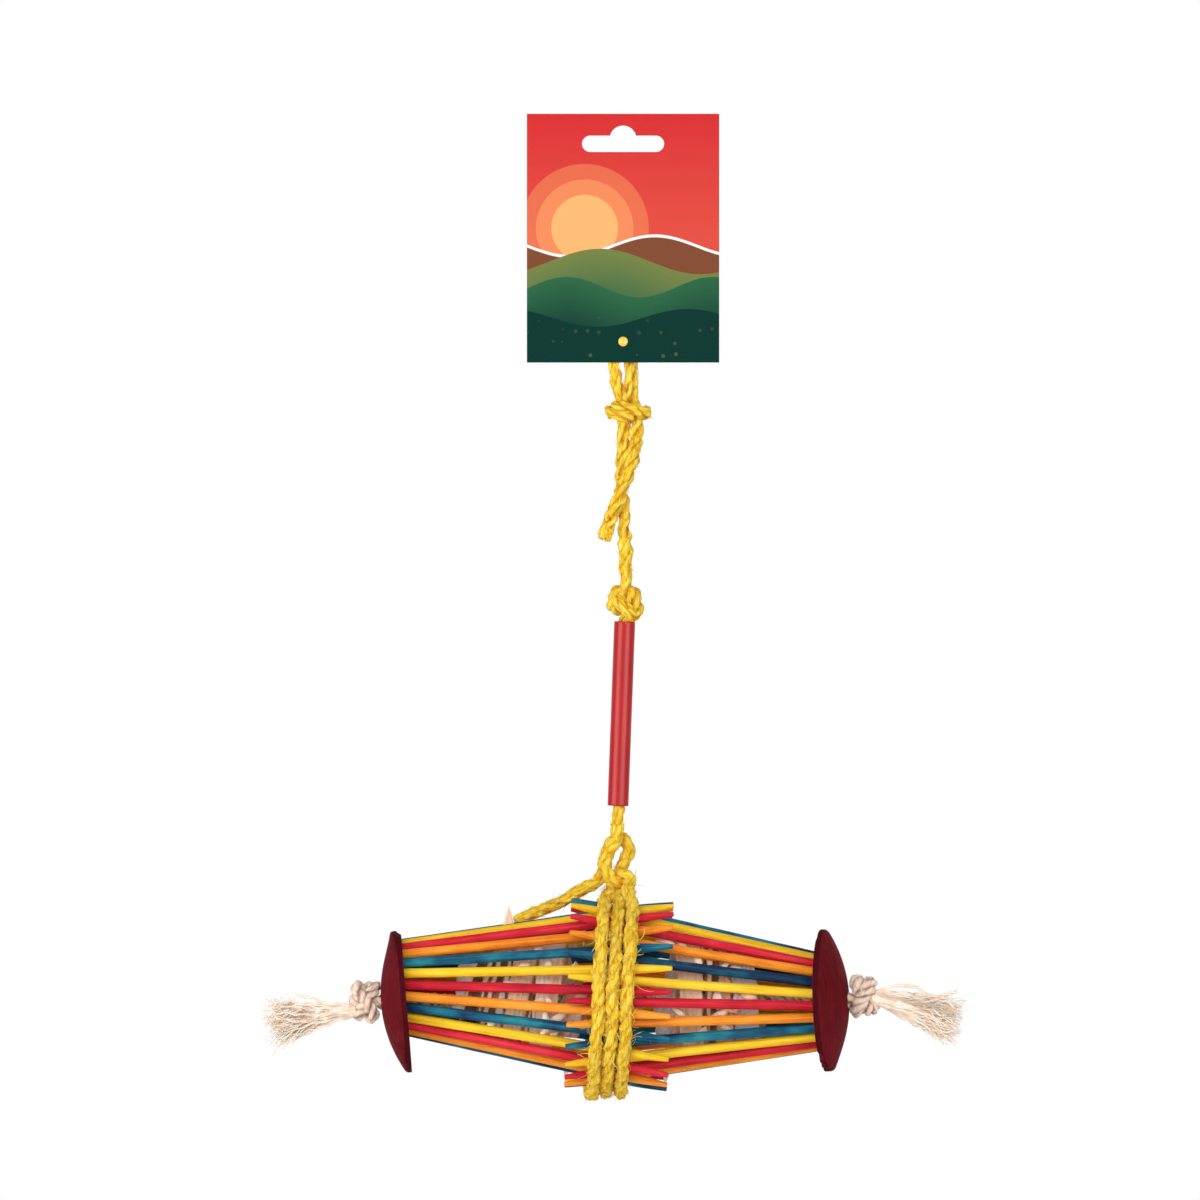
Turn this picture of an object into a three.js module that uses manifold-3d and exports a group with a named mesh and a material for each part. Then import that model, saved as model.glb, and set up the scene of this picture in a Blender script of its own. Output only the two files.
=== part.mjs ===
// Hanging foraging toy for cage birds: a cage of dyed sticks between two domed wooden discs,
// bound at its waist and hung by a knotted rope from a header card.
// Millimetres, +Z up, the front faces -Y. The origin is the top of the card's hang slot.
import * as THREE from "three";
import { mergeVertices } from "three/addons/utils/BufferGeometryUtils.js";
import Module from "manifold-3d";

const wasm = await Module();
wasm.setup();

// Gap between pieces that touch
const CLEARANCE = 0.3;

// Header card
const CARD_WIDTH = 75;
const CARD_HEIGHT = 97;
const CARD_THICKNESS = 0.8;
const CARD_ABOVE_SLOT = 4.6;
const SLOT_WIDTH = 32;
const SLOT_HEIGHT = 6.4;
const SLOT_SHOULDER = 3.9;
const SLOT_BUMP_RADIUS = 5.25;

// Rivet that pins the rope's eye to the card
const RIVET_ABOVE_EDGE = 8.2;
const RIVET_SHANK_DIAMETER = 2;
const RIVET_HEAD_DIAMETER = 3.8;
const RIVET_HEAD_HEIGHT = 0.8;
const RIVET_TAIL_DIAMETER = 8;
const RIVET_TAIL_HEIGHT = 0.8;

// Yellow rope, from the rivet down
const ROPE_DIAMETER = 5;
const UPPER_ROPE_LENGTH = 94.4;
const TOP_KNOT_DROP = 27.3;
const MIDDLE_KNOT_HEIGHT = 11.7;
const TUBE_LENGTH = 72;
const TUBE_DIAMETER = 8.2;
const TUBE_BORE = 6;
const LOWER_ROPE_LENGTH = 10;
const ROPE_JOIN_IN_TUBE = 20;
const ROPE_LEAN = THREE.MathUtils.degToRad(2.1);
const SWING_POINT_BESIDE = 1.2;
const HITCH_HEIGHT = 26.3;
const HITCH_BESIDE = 0.75;
const KNOT_TIGHTNESS = 0.92;
const KNOT_TURNS = 1.75;
const TOP_KNOT_TURNS = 1.4;
const TOP_KNOT_BESIDE = 2.2;
const TOP_KNOT_TILT = 0.12;
const TOP_KNOT_LOOSE = 2.8;
const TOP_KNOT_RISE = 4;

// Cage of sticks: two cones whose tips interleave at the waist
const STICKS_PER_HALF = 24;
const STICK_DIAMETER = 3.8;
const STICK_TIP_DIAMETER = 1.9;
const STICK_TAPER_LENGTH = 13;
const WAIST_GAP = 0.44;
const RING_GAP = 0.69;
const LEFT_REACH = 82.8;
const RIGHT_REACH = 79.6;
const TIP_PAST_WAIST = 20;
const SOCKET_DEPTH = 2.2;
const CAGE_LEAN = THREE.MathUtils.degToRad(2.14);
const LEFT_STICK_PHASE = THREE.MathUtils.degToRad(5.5);

// Domed wooden discs
const DISC_RIM_OUTSIDE_RING = 10.5;
const DISC_THICKNESS = 10;
const DISC_RIM_HEIGHT = 2.2;
const DISC_EDGE = 0.6;
const LEFT_DISC_SAG = 5.7;
const RIGHT_DISC_RISE = 0.7;
const LEFT_DISC_ROLL = THREE.MathUtils.degToRad(6.7);
const LEFT_DISC_YAW = THREE.MathUtils.degToRad(1.5);
const RIGHT_DISC_ROLL = THREE.MathUtils.degToRad(4.3);
const RIGHT_DISC_YAW = THREE.MathUtils.degToRad(10);

// Binding round the waist
const BINDING_TURNS = 3;
const BINDING_GAP = 0.5;
const BINDING_START = 4.4;
const BINDING_FIRST_ANGLE = THREE.MathUtils.degToRad(24);
const BINDING_LAST_ANGLE = 2 * Math.PI * BINDING_TURNS - THREE.MathUtils.degToRad(85);

// Natural rope through the discs, with a knot and a frayed end outside each
const CORE_DIAMETER = 5.5;
const CORE_KNOT_LENGTH = 12;
const TASSEL_LENGTH = 35;
const TASSEL_END_DIAMETER = 16;
const TASSEL_SINK = 1.5;
const TASSEL_DROOP = THREE.MathUtils.degToRad(13);

// Leaf strips wound on the natural rope
const LEAF_WIDTH = 9.5;
const LEAF_THICKNESS = 0.8;
const LEAF_TURNS = 3.5;
const LEAF_PITCH = 10.5;
const LEAF_FROM_WAIST = 10;
const LEAF_TO_STICKS = 1.5;
const LEAF_OPENING_TURNS = 0.8;
const LEAF_CRUMPLE = 0.05;

// Facets
const ROPE_SIDES = 8;
const BINDING_SIDES = 6;
const STICK_SIDES = 8;
const DISC_SIDES = 40;
const POINTS_PER_TURN = 12;
const STEPS_PER_POINT = 2;

// Values worked out from the sizes above
const rivetDrop = CARD_HEIGHT - CARD_ABOVE_SLOT - RIVET_ABOVE_EDGE;
const ropeRadius = ROPE_DIAMETER / 2;
const coreRadius = CORE_DIAMETER / 2;
const stickRadius = STICK_DIAMETER / 2;
const ropeY = CARD_THICKNESS / 2 + CLEARANCE + ropeRadius;
const eyeRadius = RIVET_SHANK_DIAMETER / 2 + CLEARANCE + ropeRadius;
const stickStep = (2 * Math.PI) / STICKS_PER_HALF;
const waistRadius = (STICK_DIAMETER + WAIST_GAP) / (2 * Math.sin(stickStep / 4));
const ringRadius = (STICK_DIAMETER + RING_GAP) / (2 * Math.sin(stickStep / 2));
const discRadius = ringRadius + DISC_RIM_OUTSIDE_RING;
const bindingPitch = ROPE_DIAMETER + BINDING_GAP;
const ropeDown = new THREE.Vector3(-Math.sin(ROPE_LEAN), 0, -Math.cos(ROPE_LEAN));
const swingPoint = new THREE.Vector3(SWING_POINT_BESIDE, ropeY, -rivetDrop - UPPER_ROPE_LENGTH);
const knotTop = ropeRadius + CLEARANCE;
const tubeTop = knotTop + MIDDLE_KNOT_HEIGHT + CLEARANCE;
const tubeEnd = tubeTop + TUBE_LENGTH;
const tiltPoint = alongRope(tubeEnd + LOWER_ROPE_LENGTH);
const cageCentre = new THREE.Vector3(HITCH_BESIDE, 0, -HITCH_HEIGHT - bindingRadius(0)).add(tiltPoint);

// Colours of the sticks, in their order round the cage
const COLOURS = { yellow: 0xf2c230, red: 0xd02c3c, orange: 0xf29430, blue: 0x1d6880 };
const STICK_COLOURS = ["red", "yellow", "blue", "orange"];

const toy = new THREE.Group();
const cage = new THREE.Group();
cage.position.copy(cageCentre);
cage.rotation.y = CAGE_LEAN;
cage.updateMatrix();
toy.add(cage);

// Point on the straight lower rope at a distance below the swing point
function alongRope(distance) {
  return swingPoint.clone().addScaledVector(ropeDown, distance);
}

// Radius of the binding's centre line at a distance from the waist, its facets clear of the sticks
function bindingRadius(fromWaist) {
  const slope = (waistRadius - ringRadius) / Math.min(LEFT_REACH, RIGHT_REACH);
  const seat = waistRadius + slope * Math.abs(fromWaist) + stickRadius + CLEARANCE + ropeRadius;
  return seat / Math.cos(Math.PI / (POINTS_PER_TURN * STEPS_PER_POINT));
}

function paint(colour, roughness) {
  return new THREE.MeshStandardMaterial({ color: colour, roughness, metalness: 0 });
}

function addPiece(parent, name, geometry, material) {
  const piece = new THREE.Mesh(geometry, material);
  piece.name = name;
  parent.add(piece);
  return piece;
}

// Closed geometry to solid and back, for joins and cuts
function solid(geometry) {
  const bare = geometry.clone();
  bare.deleteAttribute("normal");
  bare.deleteAttribute("uv");
  const merged = mergeVertices(bare);
  const vertProperties = new Float32Array(merged.attributes.position.array);
  const triVerts = new Uint32Array(merged.index.array);
  return new wasm.Manifold(new wasm.Mesh({ numProp: 3, vertProperties, triVerts }));
}

function shape(body) {
  const mesh = body.getMesh();
  const geometry = new THREE.BufferGeometry();
  geometry.setAttribute("position", new THREE.BufferAttribute(mesh.vertProperties, 3));
  geometry.setIndex(new THREE.BufferAttribute(mesh.triVerts, 1));
  geometry.computeVertexNormals();
  return geometry;
}

function joined(geometries) {
  return shape(geometries.map(solid).reduce((whole, next) => whole.add(next)));
}

// Smooth path whose steps fall evenly between its points, so tight bends keep their shape
class RopePath extends THREE.CatmullRomCurve3 {
  getUtoTmapping(share) {
    return share;
  }
}

// Rope of round section along a smooth path
function ropeAlong(points, radius, sides) {
  const corners = Array.from({ length: sides }, (_, i) => {
    const angle = (2 * Math.PI * i) / sides;
    return new THREE.Vector2(radius * Math.cos(angle), radius * Math.sin(angle));
  });
  const steps = STEPS_PER_POINT * (points.length - 1);
  return new THREE.ExtrudeGeometry(new THREE.Shape(corners), { steps, extrudePath: new RopePath(points) });
}

// Turned piece: radius and height pairs revolved about its own axis
function turned(profile, sides) {
  const points = profile.map(([radius, height]) => new THREE.Vector2(radius, height));
  return new THREE.LatheGeometry(points, sides);
}

// Turns that ride round a rope and sink into it at both ends
function knotTurns({ centre, along, across, out, halfWidth, halfDepth, turns, rise, phase }) {
  const count = Math.round(turns * POINTS_PER_TURN);
  return Array.from({ length: count + 1 }, (_, i) => {
    const share = i / count;
    const angle = phase + share * turns * 2 * Math.PI;
    const sink = 0.3 + 0.7 * Math.min(1, 5 * Math.min(share, 1 - share));
    return centre
      .clone()
      .addScaledVector(across, sink * halfWidth * Math.cos(angle))
      .addScaledVector(out, sink * halfDepth * Math.sin(angle))
      .addScaledVector(along, rise * (share - 0.5));
  });
}

// Points of a route: beside and behind an anchor in rope radii, below it in shares of a drop
function route(anchor, drop, offsets) {
  return offsets.map(([beside, behind, below]) =>
    new THREE.Vector3(beside * ropeRadius, behind * ropeRadius, -below * drop).add(anchor));
}

function makeCard() {
  const top = CARD_ABOVE_SLOT;
  const bottom = CARD_ABOVE_SLOT - CARD_HEIGHT;
  const outline = new THREE.Shape([
    new THREE.Vector2(-CARD_WIDTH / 2, bottom),
    new THREE.Vector2(CARD_WIDTH / 2, bottom),
    new THREE.Vector2(CARD_WIDTH / 2, top),
    new THREE.Vector2(-CARD_WIDTH / 2, top),
  ]);
  const endRadius = SLOT_HEIGHT / 2;
  const endX = SLOT_WIDTH / 2 - endRadius;
  const middle = -SLOT_SHOULDER - endRadius;
  const bumpStart = Math.asin((SLOT_BUMP_RADIUS - SLOT_SHOULDER) / SLOT_BUMP_RADIUS);
  const slot = new THREE.Path();
  slot.absarc(endX, middle, endRadius, -Math.PI / 2, Math.PI / 2, false);
  slot.absarc(0, -SLOT_BUMP_RADIUS, SLOT_BUMP_RADIUS, bumpStart, Math.PI - bumpStart, false);
  slot.absarc(-endX, middle, endRadius, Math.PI / 2, 1.5 * Math.PI, false);
  slot.closePath();
  const hole = new THREE.Path();
  hole.absarc(0, -rivetDrop, RIVET_SHANK_DIAMETER / 2 + CLEARANCE, 0, 2 * Math.PI, false);
  outline.holes.push(slot, hole);
  const card = new THREE.ExtrudeGeometry(outline, {
    depth: CARD_THICKNESS,
    bevelEnabled: false,
    curveSegments: 10,
  });
  card.rotateX(Math.PI / 2);
  card.translate(0, CARD_THICKNESS / 2, 0);
  addPiece(toy, "header_card", card, paint(0xd8564a, 0.45));
}

function makeRivet() {
  const front = CARD_THICKNESS / 2 + CLEARANCE;
  const back = ropeY + ropeRadius + CLEARANCE;
  const shank = RIVET_SHANK_DIAMETER / 2;
  const head = RIVET_HEAD_DIAMETER / 2;
  const tail = RIVET_TAIL_DIAMETER / 2;
  const rivet = turned([
    [0, -front - RIVET_HEAD_HEIGHT],
    [0.6 * head, -front - 0.8 * RIVET_HEAD_HEIGHT],
    [head, -front - 0.25 * RIVET_HEAD_HEIGHT],
    [head, -front],
    [shank, -front],
    [shank, back],
    [tail, back],
    [tail, back + RIVET_TAIL_HEIGHT],
    [0, back + RIVET_TAIL_HEIGHT],
  ], 16);
  const piece = addPiece(toy, "card_rivet", rivet, paint(0xe9bb32, 0.4));
  piece.position.set(0, 0, -rivetDrop);
}

// Long stretch, up through the knot, round the rivet and down again into the tail
function makeLoop() {
  const rivet = new THREE.Vector3(0, ropeY, -rivetDrop);
  const arc = Array.from({ length: 7 }, (_, i) => {
    const angle = Math.PI * (1 - i / 6);
    return new THREE.Vector3(eyeRadius * Math.cos(angle), ropeY, eyeRadius * Math.sin(angle) - rivetDrop);
  });
  const path = [
    swingPoint,
    ...route(rivet, UPPER_ROPE_LENGTH, [
      [0.4, 0, 0.905], [0.12, 0, 0.746], [-0.12, 0, 0.576], [0.04, 0, 0.428], [0.12, 0, 0.35],
      [-0.24, 0, 0.286], [-1, 0, 0.2], [-1.56, 0, 0.085],
    ]),
    ...arc,
    ...route(rivet, UPPER_ROPE_LENGTH, [
      [1.44, 0, 0.085], [1.48, 0, 0.2], [2, 0, 0.286], [2.2, -0.12, 0.35], [2, -0.8, 0.424],
      [1.28, -1.84, 0.508], [0.16, -2.2, 0.593], [-1.28, -2, 0.689], [-2.96, -1.44, 0.805],
    ]),
  ];
  const wrap = knotTurns({
    centre: new THREE.Vector3(TOP_KNOT_BESIDE, ropeY, -rivetDrop - TOP_KNOT_DROP),
    along: new THREE.Vector3(-TOP_KNOT_TILT, 0, -1),
    across: new THREE.Vector3(-1, 0, TOP_KNOT_TILT),
    out: new THREE.Vector3(0, -1, 0),
    halfWidth: eyeRadius + TOP_KNOT_LOOSE,
    halfDepth: KNOT_TIGHTNESS * ROPE_DIAMETER,
    turns: TOP_KNOT_TURNS,
    rise: TOP_KNOT_RISE,
    phase: -0.2 * Math.PI,
  });
  const end = new THREE.SphereGeometry(ropeRadius, ROPE_SIDES, 8);
  end.translate(swingPoint.x, swingPoint.y, swingPoint.z);
  const loop = joined([
    ropeAlong(path, ropeRadius, ROPE_SIDES),
    ropeAlong(wrap, ropeRadius, ROPE_SIDES),
    end,
  ]);
  addPiece(toy, "rope_loop", loop, paint(0xecbb35, 0.9));
}

// Middle knot and the stretch that runs down inside the tube
function makeDrop() {
  const foot = tubeEnd - ROPE_JOIN_IN_TUBE;
  const knot = knotTurns({
    centre: alongRope(knotTop + MIDDLE_KNOT_HEIGHT / 2),
    along: ropeDown,
    across: new THREE.Vector3(1, 0, 0),
    out: new THREE.Vector3(0, -1, 0),
    halfWidth: KNOT_TIGHTNESS * ROPE_DIAMETER,
    halfDepth: KNOT_TIGHTNESS * ROPE_DIAMETER,
    turns: KNOT_TURNS,
    rise: MIDDLE_KNOT_HEIGHT - ROPE_DIAMETER,
    phase: 0.1 * Math.PI,
  });
  const straight = [alongRope(knotTop), alongRope(foot)];
  const drop = joined([
    ropeAlong(straight, ropeRadius, ROPE_SIDES),
    ropeAlong(knot, ropeRadius, ROPE_SIDES),
  ]);
  addPiece(toy, "rope_drop", drop, paint(0xecbb35, 0.9));
}

// Pieces that lie along the lower rope, turned about it
function onRope(piece, distance) {
  piece.position.copy(alongRope(distance));
  piece.quaternion.setFromUnitVectors(new THREE.Vector3(0, 1, 0), ropeDown);
}

function makeTube() {
  const outer = TUBE_DIAMETER / 2;
  const bore = TUBE_BORE / 2;
  const lip = (outer - bore) / 3;
  const tube = turned([
    [bore, 0],
    [outer - lip, 0],
    [outer, lip],
    [outer, TUBE_LENGTH - lip],
    [outer - lip, TUBE_LENGTH],
    [bore, TUBE_LENGTH],
    [bore, 0],
  ], 24);
  onRope(addPiece(toy, "red_tube", tube, paint(0xb83236, 0.35)), tubeTop);
}

function makeStub() {
  const top = tubeEnd - ROPE_JOIN_IN_TUBE + CLEARANCE;
  const length = tubeEnd + LOWER_ROPE_LENGTH - top;
  const dome = [0.25, 0.5, 0.75].map((share) => {
    const angle = (share * Math.PI) / 2;
    return [ropeRadius * Math.cos(angle), length + ropeRadius * Math.sin(angle)];
  });
  const stub = turned(
    [[0, 0], [ropeRadius, 0], [ropeRadius, length], ...dome, [0, length + ropeRadius]],
    ROPE_SIDES,
  );
  onRope(addPiece(toy, "rope_stub", stub, paint(0xecbb35, 0.9)), top);
}

// Point of the binding at an angle from the top towards the front, lifted off its seat on the sticks
function bindingPoint(angle, fromWaist, lift) {
  const radius = bindingRadius(fromWaist) + lift;
  return new THREE.Vector3(fromWaist, -radius * Math.sin(angle), radius * Math.cos(angle))
    .applyMatrix4(cage.matrix);
}

// Least gap of a rope to itself, measured between points three diameters or more apart along it
function leastGap(points, diameter) {
  const path = new THREE.CatmullRomCurve3(points);
  const perDiameter = 4;
  const count = Math.round((perDiameter * path.getLength()) / diameter);
  const spaced = path.getSpacedPoints(count);
  let least = Infinity;
  spaced.forEach((point, i) => {
    spaced.slice(i + 3 * perDiameter).forEach((other) => {
      least = Math.min(least, point.distanceTo(other));
    });
  });
  return least - diameter;
}

// One unbroken rope: hitch, three turns round the waist, back up through the hitch, rear tail
function makeBinding() {
  const sweep = BINDING_LAST_ANGLE - BINDING_FIRST_ANGLE;
  const count = Math.round((sweep / (2 * Math.PI)) * POINTS_PER_TURN);
  const turns = Array.from({ length: count + 1 }, (_, i) => {
    const angle = BINDING_LAST_ANGLE - (sweep * i) / count;
    return bindingPoint(angle, BINDING_START - (bindingPitch * angle) / (2 * Math.PI), 0);
  });
  const standing = route(tiltPoint, HITCH_HEIGHT, [
    [-0.04, 0, knotTop / HITCH_HEIGHT], [-0.72, -0.2, 0.228], [-1.6, -0.4, 0.36], [-2, -0.6, 0.48],
    [-2.02, -0.72, 0.58], [-1.72, -0.7, 0.67], [-1.15, -0.4, 0.735],
  ]);
  // Over the waist between two turns, then across one: degrees behind the top, rope radii up, pitches beside
  const crossing = [
    [3, 1.95, 1.46], [13, 2, 1.5], [25, 2.1, 1.72], [38, 2.1, 2.1], [52, 1.5, 2.5], [68, 0.4, 2.78],
  ].map(([behind, up, pitches]) =>
    bindingPoint(-THREE.MathUtils.degToRad(behind), BINDING_START - pitches * bindingPitch, up * ropeRadius));
  const returning = route(tiltPoint, HITCH_HEIGHT, [
    [2.24, -3.56, 0.92], [2.56, -2.28, 0.829], [2.72, -1.4, 0.745], [2.56, -0.88, 0.669], [2.04, -0.64, 0.62],
    [1.36, -0.6, 0.605], [0.68, -0.48, 0.601], [0.12, 0.04, 0.589], [-0.06, 0.84, 0.567], [0.24, 1.6, 0.525],
    [0.84, 1.96, 0.46], [1.36, 2, 0.384], [1.76, 1.92, 0.304], [1.84, 1.88, 0.224], [1.44, 2, 0.152],
    [0.64, 2.24, 0.122], [-0.32, 2.44, 0.141], [-1.12, 2.6, 0.213], [-1.64, 2.76, 0.335], [-2, 2.92, 0.475],
    [-2.32, 3.16, 0.616], [-3, 3.5, 0.735], [-4.15, 3.8, 0.81], [-5.6, 4.15, 0.885], [-7.4, 4.6, 0.985],
    [-9.2, 5.05, 1.075], [-11.3, 5.5, 1.165], [-13.6, 5.95, 1.26], [-15.5, 6.2, 1.345],
  ]);
  const path = [...standing, ...crossing, ...turns, ...returning];
  addPiece(toy, "binding_rope", ropeAlong(path, ropeRadius, BINDING_SIDES), paint(0xecbb35, 0.9));
  console.log("least gap of the binding to itself, mm:", leastGap(path, ROPE_DIAMETER).toFixed(2));
}

// One half of the cage: which way it points, how far its disc lies out and how the disc is set
const HALVES = [
  {
    name: "left",
    side: -1,
    reach: LEFT_REACH,
    discHeight: -LEFT_DISC_SAG,
    roll: LEFT_DISC_ROLL,
    yaw: LEFT_DISC_YAW,
    phase: LEFT_STICK_PHASE,
  },
  {
    name: "right",
    side: 1,
    reach: RIGHT_REACH,
    discHeight: RIGHT_DISC_RISE,
    roll: RIGHT_DISC_ROLL,
    yaw: RIGHT_DISC_YAW,
    phase: LEFT_STICK_PHASE - stickStep / 2,
  },
];

function discPlace(half) {
  const position = new THREE.Vector3(half.side * half.reach, 0, half.discHeight);
  const rotation = new THREE.Euler(0, -half.roll, -half.side * half.yaw);
  const quaternion = new THREE.Quaternion().setFromEuler(rotation);
  return new THREE.Matrix4().compose(position, quaternion, new THREE.Vector3(1, 1, 1));
}

// Stick's line from its socket in the disc to its tip past the waist, in the cage's own frame
function stickLine(half, index) {
  const angle = half.phase + stickStep * index;
  const slope = (waistRadius - ringRadius) / half.reach;
  const radial = new THREE.Vector3(0, -Math.cos(angle), Math.sin(angle));
  const outward = new THREE.Vector3(half.side, 0, 0).addScaledVector(radial, -slope);
  const atWaist = radial.clone().multiplyScalar(waistRadius);
  const place = discPlace(half);
  const centre = new THREE.Vector3().setFromMatrixPosition(place);
  const normal = new THREE.Vector3(half.side, 0, 0).transformDirection(place);
  const toFace = normal.dot(centre.clone().sub(atWaist)) / normal.dot(outward);
  const tip = atWaist.clone().addScaledVector(outward, -TIP_PAST_WAIST);
  const direction = outward.clone().normalize();
  const foot = atWaist.clone().addScaledVector(outward, toFace).addScaledVector(direction, SOCKET_DEPTH);
  return { foot, direction: direction.negate(), length: foot.distanceTo(tip) };
}

function alignTo(object, line) {
  object.position.copy(line.foot);
  object.quaternion.setFromUnitVectors(new THREE.Vector3(0, 1, 0), line.direction);
  object.updateMatrix();
}

function makeSticks(half) {
  for (let i = 0; i < STICKS_PER_HALF; i += 1) {
    const line = stickLine(half, i);
    const stick = turned([
      [0, 0],
      [stickRadius, 0],
      [stickRadius, line.length - STICK_TAPER_LENGTH],
      [STICK_TIP_DIAMETER / 2, line.length],
      [0, line.length],
    ], STICK_SIDES);
    const colour = STICK_COLOURS[i % STICK_COLOURS.length];
    const number = String(i + 1).padStart(2, "0");
    const name = `${half.name}_stick_${number}_${colour}`;
    alignTo(addPiece(cage, name, stick, paint(COLOURS[colour], 0.55)), line);
  }
}

// Straight run of the natural rope through both discs, in the cage's own frame
function coreLine() {
  const [left, right] = HALVES.map((half) => new THREE.Vector3().setFromMatrixPosition(discPlace(half)));
  return { left, right, direction: right.clone().sub(left).normalize() };
}

function makeDisc(half) {
  const dome = DISC_THICKNESS - DISC_RIM_HEIGHT;
  const sphere = (discRadius ** 2 + dome ** 2) / (2 * dome);
  const spread = Math.asin(discRadius / sphere);
  const crown = Array.from({ length: 6 }, (_, i) => {
    const angle = spread * (1 - (i + 1) / 6);
    return [sphere * Math.sin(angle), DISC_THICKNESS - sphere * (1 - Math.cos(angle))];
  });
  const blank = turned([
    [0, 0],
    [discRadius - DISC_EDGE, 0],
    [discRadius, DISC_EDGE],
    [discRadius, DISC_RIM_HEIGHT],
    ...crown,
  ], DISC_SIDES);
  blank.rotateZ((-half.side * Math.PI) / 2);
  const place = discPlace(half);
  const toDisc = place.clone().invert();
  let disc = solid(blank);
  for (let i = 0; i < STICKS_PER_HALF; i += 1) {
    const line = stickLine(half, i);
    const reach = stickRadius + CLEARANCE;
    const start = -CLEARANCE;
    const socket = turned([[0, start], [reach, start], [reach, line.length], [0, line.length]], STICK_SIDES);
    const holder = new THREE.Object3D();
    alignTo(holder, line);
    disc = disc.subtract(solid(socket.applyMatrix4(holder.matrix).applyMatrix4(toDisc)));
  }
  const core = coreLine();
  const bore = turned([
    [0, -2 * DISC_THICKNESS],
    [coreRadius + CLEARANCE, -2 * DISC_THICKNESS],
    [coreRadius + CLEARANCE, 2 * DISC_THICKNESS],
    [0, 2 * DISC_THICKNESS],
  ], 12);
  const holder = new THREE.Object3D();
  alignTo(holder, { foot: core[half.name], direction: core.direction });
  disc = disc.subtract(solid(bore.applyMatrix4(holder.matrix).applyMatrix4(toDisc)));
  const piece = addPiece(cage, `${half.name}_disc`, shape(disc), paint(0x641a22, 0.5));
  piece.applyMatrix4(place);
}

// Rope through both discs, its two stopper knots and its frayed ends
function makeCore() {
  const core = coreLine();
  const out = new THREE.Vector3(0, -1, 0);
  const up = new THREE.Vector3().crossVectors(core.direction, new THREE.Vector3(0, 1, 0));
  const pieces = [];
  const ends = HALVES.map((half) => {
    const along = core.direction.clone().multiplyScalar(half.side);
    const apex = core[half.name].clone().addScaledVector(along, DISC_THICKNESS + CLEARANCE);
    const knotEnd = apex.clone().addScaledVector(along, CORE_KNOT_LENGTH);
    const knot = knotTurns({
      centre: apex.clone().addScaledVector(along, CORE_KNOT_LENGTH / 2 + CLEARANCE),
      along,
      across: up,
      out,
      halfWidth: KNOT_TIGHTNESS * CORE_DIAMETER,
      halfDepth: KNOT_TIGHTNESS * CORE_DIAMETER,
      turns: KNOT_TURNS,
      rise: CORE_KNOT_LENGTH - CORE_DIAMETER,
      phase: 0.6 * Math.PI,
    });
    pieces.push(ropeAlong(knot, coreRadius, ROPE_SIDES));
    const tassel = turned([
      [0, 0],
      [coreRadius + CLEARANCE, 0],
      [0.36 * TASSEL_END_DIAMETER, 0.25 * TASSEL_LENGTH],
      [0.5 * TASSEL_END_DIAMETER, 0.8 * TASSEL_LENGTH],
      [0.4 * TASSEL_END_DIAMETER, TASSEL_LENGTH],
      [0, TASSEL_LENGTH],
    ], 12);
    const holder = new THREE.Object3D();
    const down = new THREE.Vector3(0, 0, -1);
    const droop = along.clone().addScaledVector(down, Math.tan(TASSEL_DROOP)).normalize();
    alignTo(holder, { foot: knotEnd.clone().addScaledVector(along, -TASSEL_SINK), direction: droop });
    pieces.push(tassel.applyMatrix4(holder.matrix));
    return knotEnd;
  });
  const rope = ropeAlong(ends, coreRadius, ROPE_SIDES);
  addPiece(cage, "core_rope", joined([rope, ...pieces]), paint(0xe6d2bb, 0.95));
}

// Leaf strip: starts on the natural rope, then winds round it towards the disc, close to the sticks
function makeLeaf(half) {
  const core = coreLine();
  const slope = (waistRadius - ringRadius) / half.reach;
  const steps = Math.round(LEAF_TURNS * 18);
  const corners = [];
  for (let i = 0; i <= steps; i += 1) {
    const turn = (LEAF_TURNS * i) / steps;
    const angle = 2 * Math.PI * turn;
    const fromWaist = LEAF_FROM_WAIST + LEAF_WIDTH / 2 + LEAF_PITCH * turn;
    const share = (half.side * fromWaist - core.left.x) / (core.right.x - core.left.x);
    const middle = core.left.clone().lerp(core.right, share);
    const inside = waistRadius - slope * (fromWaist + LEAF_WIDTH / 2) - stickRadius - LEAF_TO_STICKS;
    const widest = inside - Math.abs(middle.z) - LEAF_THICKNESS;
    const start = coreRadius + CLEARANCE;
    const opening = THREE.MathUtils.smoothstep(turn, 0, LEAF_OPENING_TURNS);
    const crumple = LEAF_CRUMPLE * widest * opening * (Math.sin(5 * angle) - 1);
    const radius = start + (widest - start) * opening + crumple;
    const radial = new THREE.Vector3(0, -Math.sin(angle), Math.cos(angle));
    [[-1, 0], [1, 0], [1, 1], [-1, 1]].forEach(([across, outside]) => {
      const corner = middle.clone().addScaledVector(radial, radius + outside * LEAF_THICKNESS);
      corner.x += (half.side * across * LEAF_WIDTH) / 2;
      corners.push(corner);
    });
  }
  const index = [];
  const quad = (a, b, c, d) => index.push(a, b, c, a, c, d);
  for (let i = 0; i < steps; i += 1) {
    for (let k = 0; k < 4; k += 1) {
      const next = (k + 1) % 4;
      quad(4 * i + k, 4 * i + next, 4 * (i + 1) + next, 4 * (i + 1) + k);
    }
  }
  quad(3, 2, 1, 0);
  quad(4 * steps, 4 * steps + 1, 4 * steps + 2, 4 * steps + 3);
  if (half.side < 0) {
    index.reverse();
  }
  const leaf = new THREE.BufferGeometry().setFromPoints(corners);
  leaf.setIndex(index);
  leaf.computeVertexNormals();
  addPiece(cage, `${half.name}_leaf_strip`, leaf, paint(0xb9a183, 0.85));
}

makeCard();
makeRivet();
makeLoop();
makeDrop();
makeTube();
makeStub();
makeBinding();
HALVES.forEach((half) => {
  makeSticks(half);
  makeDisc(half);
  makeLeaf(half);
});
makeCore();

export default toy;
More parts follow.
